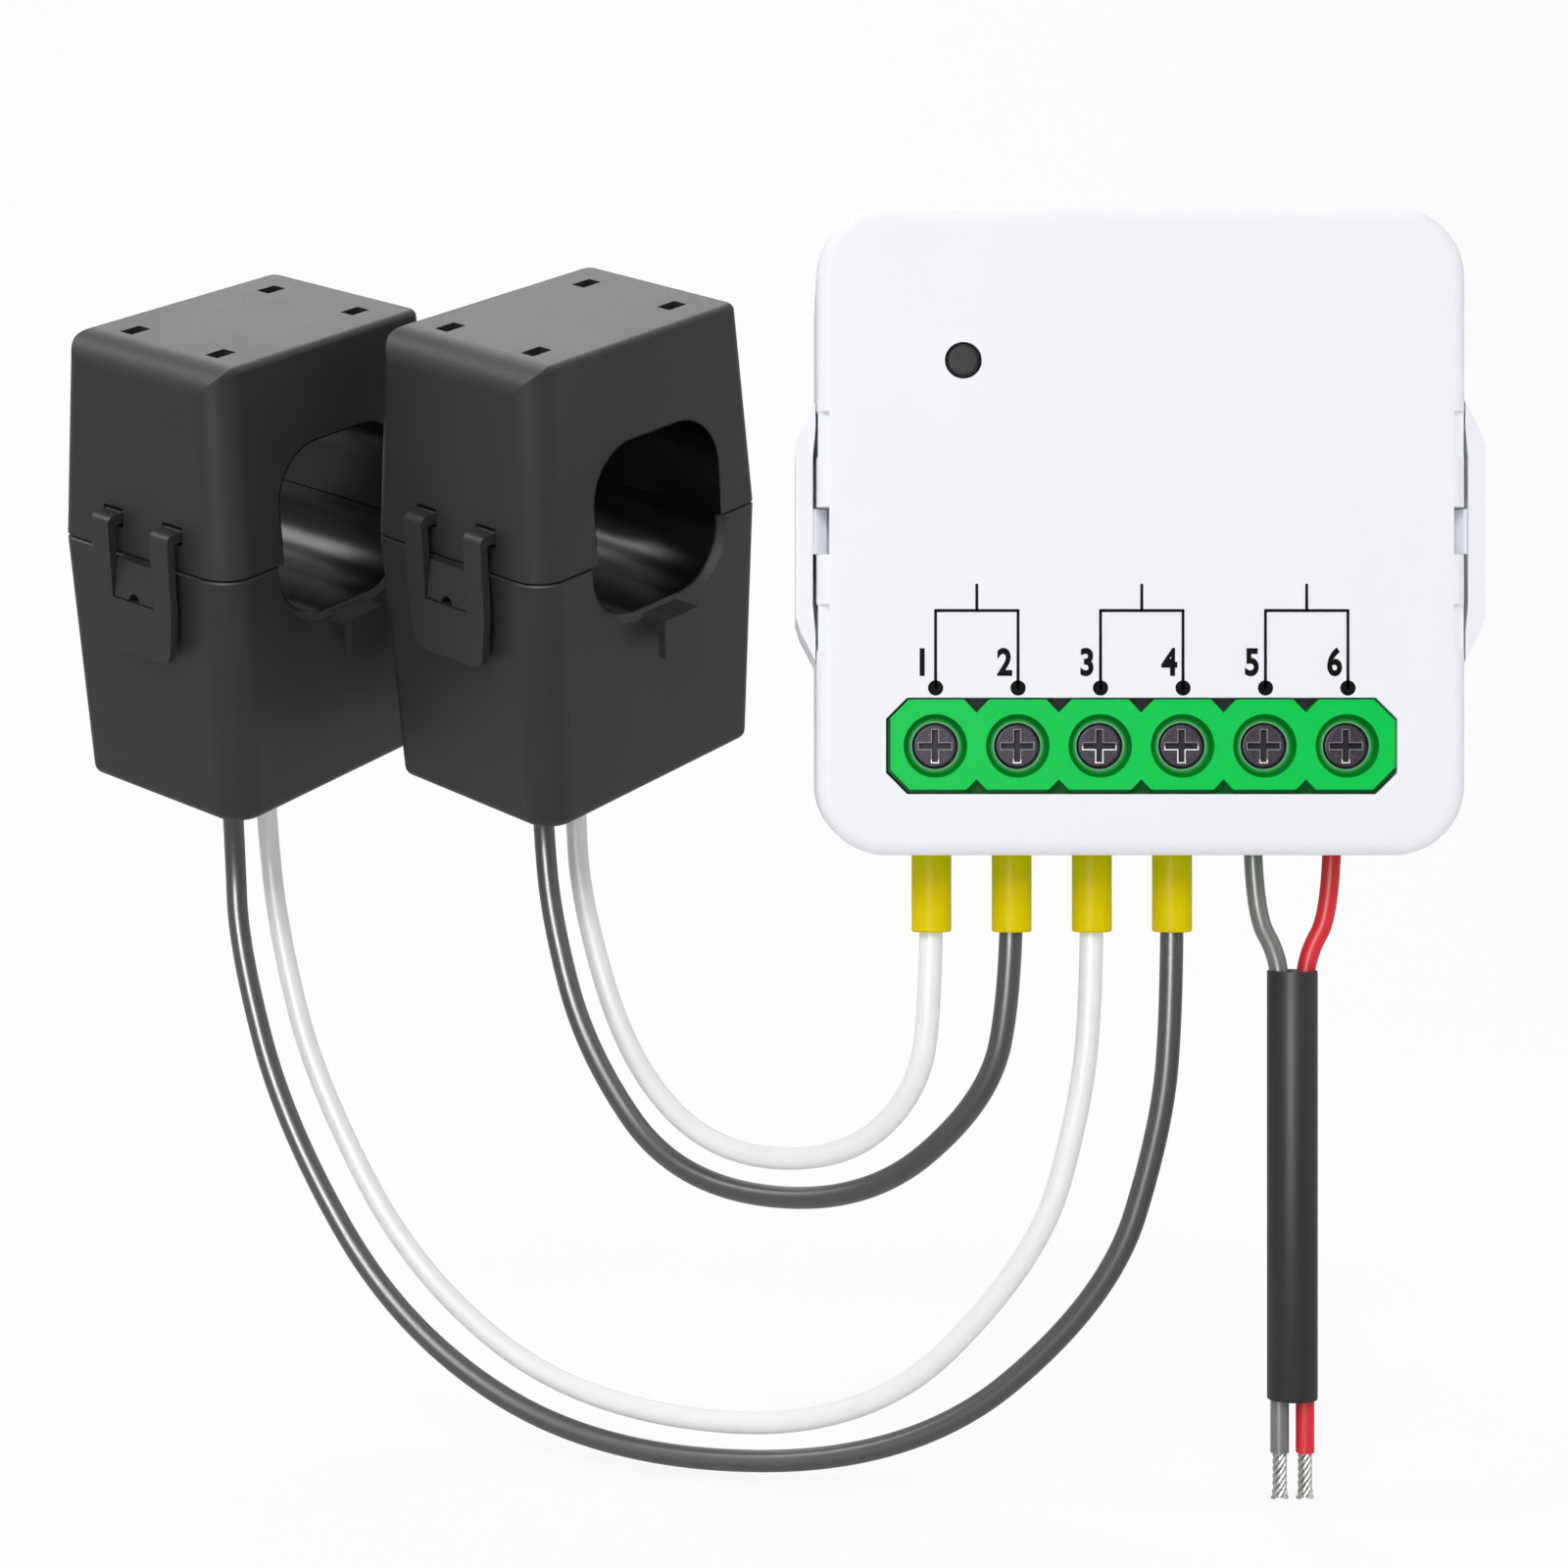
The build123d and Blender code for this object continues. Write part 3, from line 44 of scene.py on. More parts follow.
# The camera stands level, 0.21 m before the cover's face, and looks straight at it. Its lens
# is long enough that the square cover hardly narrows with its depth.
CAMERA_PLACE = (-0.02529, -0.22583, -0.01794)
CAMERA_LENS = 67.5
FILM_WIDTH = 36

bpy.ops.object.camera_add(location=CAMERA_PLACE, rotation=(math.radians(90), 0, 0))
camera = bpy.context.object
camera.data.lens = CAMERA_LENS
camera.data.sensor_width = FILM_WIDTH
camera.data.clip_start = 0.005
camera.data.clip_end = 20
scene.camera = camera


# The clamps' leads: soft round insulation over fine copper, white and black for each clamp.
# Each leaves its clamp's underside, hangs in one loop and ends in a terminal's ferrule.
MM = 0.001
LEAD_WIDTH = 1.7
LEADS = {
    "right_white_lead": (77.5, [
        (-42.52, 14.43, -14.68), (-42.52, 16.74, -19.33), (-42.0, 15.6, -27.5),
        (-37.9, 11.5, -40.3), (-30.9, 4.4, -46.9), (-21.0, -5.6, -46.3),
        (-15.4, -11.3, -40.5), (-14.575, -12.12, -32.7), (-14.575, -12.12, -25.08)]),
    "right_black_lead": (84.6, [
        (-44.98, 11.84, -15.97), (-44.98, 14.28, -20.89), (-44.2, 13.1, -28.9),
        (-41.2, 11.0, -39.6), (-33.7, 5.6, -49.5), (-19.4, -4.6, -49.8),
        (-10.3, -11.0, -41.1), (-8.745, -12.12, -32.5), (-8.745, -12.12, -25.08)]),
    "left_white_lead": (138.0, [
        (-68.71, 19.11, -14.37), (-68.99, 22.74, -21.94), (-67.7, 21.5, -30.9),
        (-64.5, 19.8, -42.6), (-55.5, 15.2, -58.3), (-41.1, 7.7, -67.7),
        (-19.2, -3.7, -67.0), (-6.7, -10.2, -52.9), (-3.7, -11.8, -41.5),
        (-2.915, -12.12, -33.0), (-2.915, -12.12, -25.08)]),
    "left_black_lead": (147.7, [
        (-70.91, 16.28, -15.65), (-71.18, 19.91, -23.22), (-70.7, 19.1, -31.6),
        (-66.6, 17.4, -46.2), (-56.3, 13.0, -62.5), (-39.8, 6.0, -71.1),
        (-15.7, -4.2, -69.2), (-1.5, -10.3, -55.8), (2.2, -11.8, -43.0),
        (2.915, -12.12, -34.0), (2.915, -12.12, -25.08)]),
}


class Mark:
    """An output in a material's nodes. Arithmetic on it adds Math nodes to the material."""

    def __init__(self, tree, output=None):
        self.tree = tree
        self.output = output

    def node(self, kind, settings, links, output=0):
        """Adds a node: its settings are made first, and then its inputs are set or linked."""
        made = self.tree.nodes.new(kind)
        for name, value in settings.items():
            setattr(made, name, value)
        for name, value in links.items():
            if isinstance(value, Mark):
                self.tree.links.new(value.output, made.inputs[name])
            else:
                made.inputs[name].default_value = value
        return Mark(self.tree, made.outputs[output])

    def math(self, operation, *values):
        return self.node("ShaderNodeMath", {"operation": operation}, dict(enumerate(values)))

    def __add__(self, other):
        return self.math("ADD", self, other)

    def __sub__(self, other):
        return self.math("SUBTRACT", self, other)

    def __rsub__(self, other):
        return self.math("SUBTRACT", other, self)

    def __mul__(self, other):
        return self.math("MULTIPLY", self, other)

    def __truediv__(self, other):
        return self.math("DIVIDE", self, other)

    def __mod__(self, other):
        return self.math("FLOORED_MODULO", self, other)

    def __pow__(self, other):
        return self.math("POWER", self, other)

    def __gt__(self, other):
        return self.math("GREATER_THAN", self, other)

    def __lt__(self, other):
        return self.math("LESS_THAN", self, other)

    def __abs__(self):
        return self.math("ABSOLUTE", self)

    __radd__ = __add__
    __rmul__ = __mul__

    def axes(self):
        """This vector's X, Y and Z."""
        parts = self.node("ShaderNodeSeparateXYZ", {}, {"Vector": self}).output.node.outputs
        return [Mark(self.tree, parts[axis]) for axis in "XYZ"]

    def between(self, start, end):
        """0 at start and 1 at end, with a soft change from one to the other."""
        return self.node("ShaderNodeMapRange", {"interpolation_type": "SMOOTHSTEP"},
                         {"Value": self, "From Min": start, "From Max": end})

    def colours(self, low, high):
        """The colour low where this is 0, and high where it is 1."""
        return self.node("ShaderNodeMix", {"data_type": "RGBA"},
                         {0: self, 6: low, 7: high}, output=2)

    def noise(self, grain, detail=2.0, roughness=0.5):
        """Soft noise on this vector, its grain in millimetres."""
        return self.node("ShaderNodeTexNoise", {},
                         {"Vector": self, "Scale": 1 / (grain * MM), "Detail": detail,
                          "Roughness": roughness})

    def bump(self, depth, strength=1.0):
        """A normal from this height, whose full rise is the depth in millimetres."""
        return self.node("ShaderNodeBump", {},
                         {"Height": self, "Distance": depth * MM, "Strength": strength})


def shade(colour):
    """An sRGB colour of the photograph, 0 to 255, as the shader's linear one."""
    parts = [value / 255 for value in colour]
    linear = [p / 12.92 if p < 0.04045 else ((p + 0.055) / 1.055) ** 2.4 for p in parts]
    return (*linear, 1)


def new_finish(name, **plain):
    """A material whose shader has these plain values; gives it, its place and its shader."""
    material = bpy.data.materials.new(name)
    material.use_nodes = True
    tree = material.node_tree
    shader = tree.nodes["Principled BSDF"]
    for socket, value in plain.items():
        shader.inputs[socket.replace("_", " ")].default_value = value
    place = Mark(tree).node("ShaderNodeTexCoord", {}, {}, output="Object")
    return material, place, shader


def feed(shader, **links):
    """Links these marks to the shader's inputs."""
    for socket, mark in links.items():
        mark.tree.links.new(mark.output, shader.inputs[socket.replace("_", " ")])


def insulation(name, colour, deep, roughness, gloss=0.5):
    """Extruded soft PVC: an even colour with faint cloudiness and a fine skin."""
    finish, place, shader = new_finish(name, Specular_IOR_Level=gloss)
    clouds = place.noise(2.4, detail=3)
    skin = place.noise(0.11, detail=2)
    feed(shader, Base_Color=clouds.colours(shade(deep), shade(colour)),
         Roughness=roughness + (skin - 0.5) * 0.16, Normal=skin.bump(0.002, 0.4))
    return finish


def soft_line(name, points, thickness, finish):
    """One smooth cord along the route's points, in millimetres."""
    line = bpy.data.curves.new(name, "CURVE")
    line.dimensions = "3D"
    spline = line.splines.new("NURBS")
    spline.points.add(len(points) - 1)
    for knot, point in zip(spline.points, points):
        knot.co = (*(Vector(point) * MM), 1)
    spline.order_u = 3
    spline.use_endpoint_u = True
    spline.resolution_u = 20
    spline.use_smooth = True
    line.bevel_depth = thickness / 2 * MM
    line.bevel_resolution = 8
    line.use_fill_caps = True
    cord = bpy.data.objects.new(name, line)
    scene.collection.objects.link(cord)
    line.materials.append(finish)
    return cord


wire_white = insulation("soft_white_insulation", (243, 243, 244), (236, 236, 238), 0.42)
wire_black = insulation("soft_black_insulation", (70, 68, 67), (62, 60, 59), 0.36, 1.0)

for name, (length, points) in LEADS.items():
    is_white = "white" in name
    lead = soft_line(name + "_insulation", points, LEAD_WIDTH,
                     wire_white if is_white else wire_black)
    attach(lead, "meter")
    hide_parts(name)


# The mains lead: two insulated cores side by side, which a round black sheath holds for most
# of their length. The sheath's mouth is opened out a little where the cores go in.
CORE_WIDTH = 1.36
SHEATH_WIDTH = 3.65
SHEATH_TOP, SHEATH_END = -31.5, -62.6
SHEATH_X, WIRE_Y = 11.66, -12.12
MOUTH_WIDTH, MOUTH_DEPTH, END_DEPTH = 3.38, 1.2, 0.35
RIM_ROUND = 0.05
CORES = {
    "neutral_core": [(8.745, WIRE_Y, -19.6), (8.745, WIRE_Y, -27.1), (10.74, WIRE_Y, -30.6),
                     (10.74, WIRE_Y, -34.6), (10.74, WIRE_Y, -66.5)],
    "live_core": [(14.575, WIRE_Y, -19.6), (14.575, WIRE_Y, -27.1), (12.58, WIRE_Y, -30.6),
                  (12.58, WIRE_Y, -34.6), (12.58, WIRE_Y, -66.5)],
}


def deselect_all():
    bpy.ops.object.select_all(action="DESELECT")


def pick(piece, kind, chosen):
    """In edit mode: picks the vertices, edges or faces whose middle the rule accepts."""
    bpy.ops.object.mode_set(mode="EDIT")
    bpy.ops.mesh.select_mode(type=kind)
    bpy.ops.mesh.select_all(action="DESELECT")
    bpy.ops.object.mode_set(mode="OBJECT")
    mesh = piece.data
    corners = [vertex.co for vertex in mesh.vertices]
    if kind == "FACE":
        for face in mesh.polygons:
            face.select = chosen(face.center / MM, face.normal)
    elif kind == "EDGE":
        for edge in mesh.edges:
            edge.select = chosen(*[corners[index] / MM for index in edge.vertices])
    else:
        for vertex in mesh.vertices:
            vertex.select = chosen(vertex.co / MM)
    bpy.ops.object.mode_set(mode="EDIT")


def settle(piece, name, finish, smooth_angle=40):
    """Fixes a piece's place in its mesh, smooths it and gives it its name and material."""
    bpy.ops.object.mode_set(mode="OBJECT")
    deselect_all()
    piece.select_set(True)
    bpy.context.view_layer.objects.active = piece
    bpy.ops.object.transform_apply(location=True, rotation=True, scale=True)
    bpy.ops.object.shade_smooth_by_angle(angle=math.radians(smooth_angle))
    piece.name = piece.data.name = name
    piece.data.materials.clear()
    piece.data.materials.append(finish)
    piece.select_set(False)
    return piece


wire_grey = insulation("soft_grey_insulation", (116, 115, 114), (108, 107, 106), 0.36, 1.0)
wire_red = insulation("soft_red_insulation", (226, 40, 52), (218, 36, 48), 0.42, 0.3)
sheath_black = insulation("tough_black_sheath", (50, 50, 51), (44, 44, 45), 0.46, 0.25)

deselect_all()
bpy.ops.mesh.primitive_cylinder_add(
    vertices=64, radius=SHEATH_WIDTH / 2 * MM, depth=(SHEATH_TOP - SHEATH_END) * MM,
    location=(SHEATH_X * MM, WIRE_Y * MM, (SHEATH_TOP + SHEATH_END) / 2 * MM))
sheath = bpy.context.object
bpy.ops.object.transform_apply(location=True)
pick(sheath, "FACE", lambda middle, normal: abs(normal.z) > 0.9)
bpy.ops.mesh.inset(thickness=(SHEATH_WIDTH - MOUTH_WIDTH) / 2 * MM)
pick(sheath, "FACE", lambda middle, normal: normal.z > 0.9 and
     (middle - Vector((SHEATH_X, WIRE_Y, SHEATH_TOP))).length < 0.5)
bpy.ops.mesh.extrude_region_move(TRANSFORM_OT_translate={"value": (0, 0, -MOUTH_DEPTH * MM)})
pick(sheath, "FACE", lambda middle, normal: normal.z < -0.9 and
     (middle - Vector((SHEATH_X, WIRE_Y, SHEATH_END))).length < 0.5)
bpy.ops.mesh.extrude_region_move(TRANSFORM_OT_translate={"value": (0, 0, END_DEPTH * MM)})


def at_sheath_rim(start, end):
    """True for the edges round the sheath's two ends, inside and outside."""
    level = abs(start.z - end.z) < 0.001
    at_end = min(abs(start.z - SHEATH_TOP), abs(start.z - SHEATH_END)) < 0.001
    reach = (start - Vector((SHEATH_X, WIRE_Y, start.z))).length
    return level and at_end and reach > MOUTH_WIDTH / 2 - 0.01


pick(sheath, "EDGE", at_sheath_rim)
bpy.ops.mesh.bevel(offset=RIM_ROUND * MM, segments=2, affect="EDGES")
settle(sheath, "mains_sheath_tube", sheath_black)
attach(sheath, "meter")
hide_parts("mains_sheath")


# Bared copper at each core's end: seven tinned wires with a slow twist, a little frayed
# below the cut insulation. The same wires go up inside the terminal, under its screw.
STRAND_SHARE = 0.32
REACH_SHARE = 0.34
STRAND_PIECES = 23
BARE_WIDTH, HIDDEN_WIDTH = 1.05, 0.85
BARE_TURNS, HIDDEN_TURNS = 1.1, 1.6
CUT_STEP = 0.06
FRAY = 1.25
FRAY_LEVELS = ((0.32, FRAY ** 0.3), (0.42, FRAY ** 0.7))
BARE_TOP, BARE_END = -66.4, -69.9
HIDDEN_TOP, HIDDEN_END = -13.3, -19.7


def tinned_copper_finish():
    """Drawn copper under a thin tin coat: bright, with fine marks along the wire."""
    finish, place, shader = new_finish("tinned_copper_wire", Metallic=0.85)
    dull = place.noise(0.35, detail=4)
    feed(shader, Base_Color=dull.colours(shade((176, 174, 170)), shade((216, 215, 212))),
         Roughness=dull * 0.2 + 0.24)
    return finish


def strand_bundle(x, top, end, turns, width):
    """Seven fine wires round the line down x, twisted together and loose at their ends."""
    deselect_all()
    made = []
    strand = STRAND_SHARE * width
    for number in range(7):
        angle = number * math.tau / 6
        reach = REACH_SHARE * width if number < 6 else 0
        cut_short = CUT_STEP * (number * 5 % 7)
        bpy.ops.mesh.primitive_cylinder_add(
            vertices=10, radius=strand / 2 * MM, depth=(top - end - cut_short) * MM,
            location=(reach * math.cos(angle) * MM, reach * math.sin(angle) * MM,
                      cut_short / 2 * MM))
        wire = bpy.context.object
        bpy.ops.object.transform_apply(location=True)
        pick(wire, "FACE", lambda middle, normal: abs(normal.z) > 0.9)
        bpy.ops.mesh.inset(thickness=strand / 8 * MM)
        pick(wire, "EDGE", lambda start, finish: abs(start.z - finish.z) > 0.1)
        bpy.ops.mesh.subdivide(number_cuts=STRAND_PIECES)
        bpy.ops.object.mode_set(mode="OBJECT")
        wire.select_set(False)
        made.append(wire)
    for wire in made:
        wire.select_set(True)
    bpy.context.view_layer.objects.active = made[0]
    bpy.ops.object.join()
    bundle = bpy.context.object
    bpy.ops.object.origin_set(type="ORIGIN_CURSOR")
    for level, spread in FRAY_LEVELS:
        pick(bundle, "VERT", lambda corner: corner.z < -level * (top - end))
        bpy.ops.transform.resize(value=(spread, spread, 1), center_override=(0, 0, 0))
    bpy.ops.object.mode_set(mode="OBJECT")
    twist = bundle.modifiers.new("twist", "SIMPLE_DEFORM")
    twist.deform_method = "TWIST"
    twist.deform_axis = "Z"
    twist.angle = turns * math.tau
    bpy.ops.object.modifier_apply(modifier=twist.name)
    bundle.location = (x * MM, WIRE_Y * MM, (top + end) / 2 * MM)
    return bundle


tinned_copper = tinned_copper_finish()
for core_name in ("neutral", "live"):
    route = CORES[core_name + "_core"]
    below = strand_bundle(route[-1][0], BARE_TOP, BARE_END, BARE_TURNS, BARE_WIDTH)
    inside = strand_bundle(route[0][0], HIDDEN_TOP, HIDDEN_END, HIDDEN_TURNS, HIDDEN_WIDTH)
    deselect_all()
    below.select_set(True)
    inside.select_set(True)
    bpy.context.view_layer.objects.active = below
    bpy.ops.object.join()
    strands = settle(bpy.context.object, core_name + "_twisted_strands", tinned_copper, 60)
    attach(strands, "meter")
    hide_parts(core_name + "_strands")

for name, points in CORES.items():
    is_live = name == "live_core"
    core = soft_line(name + "_insulation", points, CORE_WIDTH, wire_red if is_live else wire_grey)
    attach(core, "meter")
    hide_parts(name)


# The ferrules: a yellow plastic collar round each sensor lead, and a tinned pin above it,
# pressed over the bared end. The collars are moulded plain and straight, with soft rims.
def dress(finish, *names):
    """Gives these CAD nodes this material."""
    for name in names:
        nodes[name].data.materials.clear()
        nodes[name].data.materials.append(finish)


def collar_finish():
    finish, place, shader = new_finish("yellow_collar", Specular_IOR_Level=0.05)
    clouds = place.noise(1.4, detail=3)
    skin = place.noise(0.09, detail=2)
    feed(shader, Base_Color=clouds.colours(shade((216, 193, 0)), shade((226, 203, 2))),
         Roughness=0.36 + (skin - 0.5) * 0.2, Normal=skin.bump(0.005, 0.5))
    return finish


dress(collar_finish(), "ferrule_sleeves")
dress(tinned_copper, "ferrule_pins")


# The case: a white tray with two side straps and a cover that clips into them, both injection
# moulded, with a very fine satin grain on every outer face.
def case_finish():
    finish, place, shader = new_finish("white_case_plastic", Specular_IOR_Level=0.1)
    clouds = place.noise(9, detail=3)
    grain = place.noise(0.14, detail=2)
    feed(shader, Base_Color=clouds.colours(shade((235, 236, 241)), shade((239, 240, 245))),
         Roughness=0.42 + (grain - 0.5) * 0.18, Normal=grain.bump(0.006, 0.5))
    return finish


case_white = case_finish()
dress(case_white, "rear_housing", "front_cover")


# The terminal block: green glass-filled nylon, satin on its face, with painted shade, a darker
# green, where the funnels lead down to the screw heads, and a painted highlight on each lip.
PITCH = 5.83
SCREW_Z = -15.245
BLOCK_HALF, BLOCK_LOW, BLOCK_CORNER = 17.96, -18.54, 1.5
FACE_DEPTH, NOTCH_FLOOR_DEPTH, COVER_BACK_DEPTH = -17.2, -16.6, -16.0
RIM_WIDTH, CORNER_RIM_WIDTH = 0.2, 0.28
FUNNEL_REACH, NOTCH_REACH = 2.35, 2.3
# the painted shade and highlight rings round each head: where each starts and is full, and its
# colour
FUNNEL_SHADE_AND_HIGHLIGHT_RINGS = ((2.3, 2.2, (0, 118, 30)), (1.98, 1.88, (24, 150, 58)),
                (1.78, 1.72, (112, 172, 132)))


def from_screw_axis(place):
    """How far each point lies from the nearest screw's axis, and its three coordinates."""
    across, depth, up = place.axes()
    aside = (across % (PITCH * MM)) - PITCH / 2 * MM
    above = up - SCREW_Z * MM
    return (aside ** 2 + above ** 2) ** 0.5, aside, above, (across, depth, up)


def terminal_finish():
    finish, place, shader = new_finish("green_terminal_nylon", Specular_IOR_Level=0.08)
    reach, aside, above, (across, depth, up) = from_screw_axis(place)
    clouds = place.noise(2.2, detail=3)
    grain = place.noise(0.12, detail=2)
    colour = clouds.colours(shade((0, 196, 76)), shade((2, 203, 81)))
    # painted shade where the funnel starts, then mid green, then a painted highlight on its lip
    for start, end, ring in FUNNEL_SHADE_AND_HIGHLIGHT_RINGS:
        colour = reach.between(start * MM, end * MM).colours(colour, shade(ring))
    # painted shade on the rim on the left and below, where the block stands clear of the cover
    slope = (across * -1) - (BLOCK_HALF - RIM_WIDTH) * MM
    rim = (slope > 0) + (up < (BLOCK_LOW + RIM_WIDTH) * MM)
    corner = (BLOCK_HALF - BLOCK_LOW - BLOCK_CORNER - CORNER_RIM_WIDTH) * MM
    rim = rim + (((across * -1) - up) > corner) + ((across - up) > corner)
    front = (depth < FACE_DEPTH * MM) * (reach > FUNNEL_REACH * MM)
    colour = (rim * front).colours(colour, shade((2, 74, 30)))
    # painted shade on the floors of the notches between the screws: grey above the screws, deep
    # green below
    notch_shade = (depth > NOTCH_FLOOR_DEPTH * MM) * (depth < COVER_BACK_DEPTH * MM)
    notch_shade = notch_shade * (reach > NOTCH_REACH * MM)
    notch_shade_colour = (up > SCREW_Z * MM).colours(shade((6, 150, 66)), shade((104, 98, 108)))
    colour = notch_shade.colours(colour, notch_shade_colour)
    feed(shader, Base_Color=colour, Roughness=0.36 + (grain - 0.5) * 0.2,
         Normal=grain.bump(0.005, 0.5))
    return finish


dress(terminal_finish(), "terminal_block")


# Terminal screws: steel turned from bar, blackened, with turning marks on the heads. The
# cages that they draw up are folded and zinc plated.
CROSS_REACH, CROSS_HALF = 1.15, 0.22
CROSS_LINE, CROSS_FULL = 0.1, 0.02
HEAD_DEPTH, CROSS_DEPTH = -17.1, -17.0
GLINT_TIP_LEVEL = 0.95


def screw_finish():
    finish, place, shader = new_finish("blackened_screw_steel", Metallic=0.15,
                                       Specular_IOR_Level=0.2)
    reach, aside, above, (across, depth, up) = from_screw_axis(place)
    rings = reach.node("ShaderNodeTexNoise", {"noise_dimensions": "1D"},
                       {"W": reach, "Scale": 1 / (0.06 * MM), "Detail": 2.0})
    worn = place.noise(0.16, detail=4, roughness=0.7)
    colour = worn.between(0.3, 0.72).colours(shade((38, 33, 40)), shade((72, 63, 76)))
    # the cross: a painted highlight along its edges, and painted shade that makes its floor
    # nearly black
    narrow = reach.math("MINIMUM", abs(aside), abs(above))
    wide = reach.math("MAXIMUM", abs(aside), abs(above))
    outside = reach.math("MAXIMUM", narrow - CROSS_HALF * MM, wide - CROSS_REACH * MM)
    edge = abs(outside).between(CROSS_LINE * MM, CROSS_FULL * MM)
    edge = edge * (depth < HEAD_DEPTH * MM)
    colour = edge.colours(colour, shade((132, 124, 140)))
    # painted glints on the lower edges of the two middle screws' crosses and on the low tips of
    # every cross
    glint_edges = edge * (above < 0) * (abs(aside) > CROSS_HALF * MM) * (abs(across) < PITCH * MM)
    tip_glint = edge * (above < -GLINT_TIP_LEVEL * MM)
    colour = (glint_edges + tip_glint).between(0, 0.6).colours(colour, shade((236, 233, 238)))
    # painted shade: the cross's floor nearly black
    colour = (depth > CROSS_DEPTH * MM).colours(colour, shade((30, 26, 32)))
    feed(shader, Base_Color=colour, Roughness=0.42 + (rings - 0.5) * 0.3,
         Normal=rings.bump(0.004, 0.5))
    return finish


def zinc_finish():
    finish, place, shader = new_finish("zinc_plated_steel", Metallic=1.0)
    spangle = place.noise(0.6, detail=4)
    feed(shader, Base_Color=spangle.colours(shade((170, 172, 174)), shade((206, 207, 208))),
         Roughness=0.28 + spangle * 0.16)
    return finish


zinc_steel = zinc_finish()
dress(screw_finish(), *[f"terminal_screw_{number}" for number in range(1, 7)])
dress(zinc_steel, *[f"clamp_cage_{number}" for number in range(1, 7)])
dress(tinned_copper, "terminal_contacts")


# The reset button: a dark moulded cap with a soft round rim. It slides in the cover's hole and
# presses the push switch behind it.
def dark_cap_finish():
    finish, place, shader = new_finish("dark_button_plastic", Specular_IOR_Level=0.15)
    clouds = place.noise(0.8, detail=3)
    grain = place.noise(0.08, detail=2)
    feed(shader, Base_Color=clouds.colours(shade((38, 38, 40)), shade((46, 46, 48))),
         Roughness=0.5 + (grain - 0.5) * 0.2, Normal=grain.bump(0.005, 0.5))
    return finish


dark_plastic = dark_cap_finish()
dress(dark_plastic, "reset_button")


# The printing on the cover: near-black ink a hundredth of a millimetre thick. A dot stands over
# each terminal, lines join them in pairs, and each terminal has its plain number.
INK_PROUD, INK_ROOT = 0.012, 0.006
COVER_FACE = 18.0
DOT_WIDTH, DOT_Z = 1.08, -11.15
LINE_WIDTH, PAIR_Z, FORK_Z = 0.22, -5.68, -3.88
NUMBER_HEIGHT, NUMBER_Z, NUMBER_SHIFT = 1.9, -9.43, -0.95
SIZE_TO_HEIGHT, NUMBER_BOLD, NUMBER_NARROW = 1.38, 0.09, 0.82


def ink_finish():
    """Screen-printed black ink: dull, with a faint weave of the screen."""
    finish, place, shader = new_finish("black_printing_ink", Specular_IOR_Level=0.05)
    screen = (place.noise(0.3, detail=2) - 0.5) * 0.2
    feed(shader, Base_Color=place.noise(0.5).colours(shade((3, 3, 4)), shade((8, 8, 9))),
         Roughness=screen + 0.55)
    return finish


def ink_line(start, end):
    """A printed line between two points of the cover's face, with rounded ends."""
    (x1, z1), (x2, z2) = start, end
    deselect_all()
    bpy.ops.mesh.primitive_cylinder_add(
        vertices=16, radius=LINE_WIDTH / 2 * MM, depth=(INK_PROUD + INK_ROOT) * MM,
        location=(x1 * MM, -(COVER_FACE + (INK_PROUD - INK_ROOT) / 2) * MM, z1 * MM),
        rotation=(math.radians(90), 0, 0))
    line = bpy.context.object
    bpy.ops.object.transform_apply(location=True, rotation=True)
    along = Vector((x2 - x1, 0, z2 - z1))
    far = along.normalized()
    middle = Vector((x1, -COVER_FACE, z1))
    pick(line, "VERT", lambda corner: (corner - middle).dot(far) > 0.001)
    bpy.ops.transform.translate(value=along * MM)
    bpy.ops.object.mode_set(mode="OBJECT")
    return line


def ink_dot(x, z):
    """A printed round dot on the cover's face."""
    deselect_all()
    bpy.ops.mesh.primitive_cylinder_add(
        vertices=40, radius=DOT_WIDTH / 2 * MM, depth=(INK_PROUD + INK_ROOT) * MM,
        location=(x * MM, -(COVER_FACE + (INK_PROUD - INK_ROOT) / 2) * MM, z * MM),
        rotation=(math.radians(90), 0, 0))
    return bpy.context.object


def ink_number(number, x, z):
    """A plain bold figure on the cover's face, its middle at this place."""
    deselect_all()
    bpy.ops.object.text_add(location=(x * MM, -COVER_FACE * MM, z * MM),
                            rotation=(math.radians(90), 0, 0))
    figure = bpy.context.object
    figure.data.body = str(number)
    figure.data.align_x, figure.data.align_y = "CENTER", "CENTER"
    figure.data.size = SIZE_TO_HEIGHT * NUMBER_HEIGHT * MM
    figure.data.offset = NUMBER_BOLD * MM
    figure.data.extrude = (INK_PROUD + INK_ROOT) / 2 * MM
    figure.data.resolution_u = 6
    figure.scale = (NUMBER_NARROW, 1, 1)
    bpy.ops.object.convert(target="MESH")
    bpy.ops.object.transform_apply(location=True, rotation=True, scale=True)
    figure = bpy.context.object
    pick(figure, "VERT", lambda corner: True)
    bpy.ops.transform.translate(value=(0, -(INK_PROUD - INK_ROOT) / 2 * MM, 0))
    bpy.ops.mesh.remove_doubles(threshold=0.0005 * MM)
    bpy.ops.mesh.normals_make_consistent(inside=False)
    bpy.ops.object.mode_set(mode="OBJECT")
    return figure


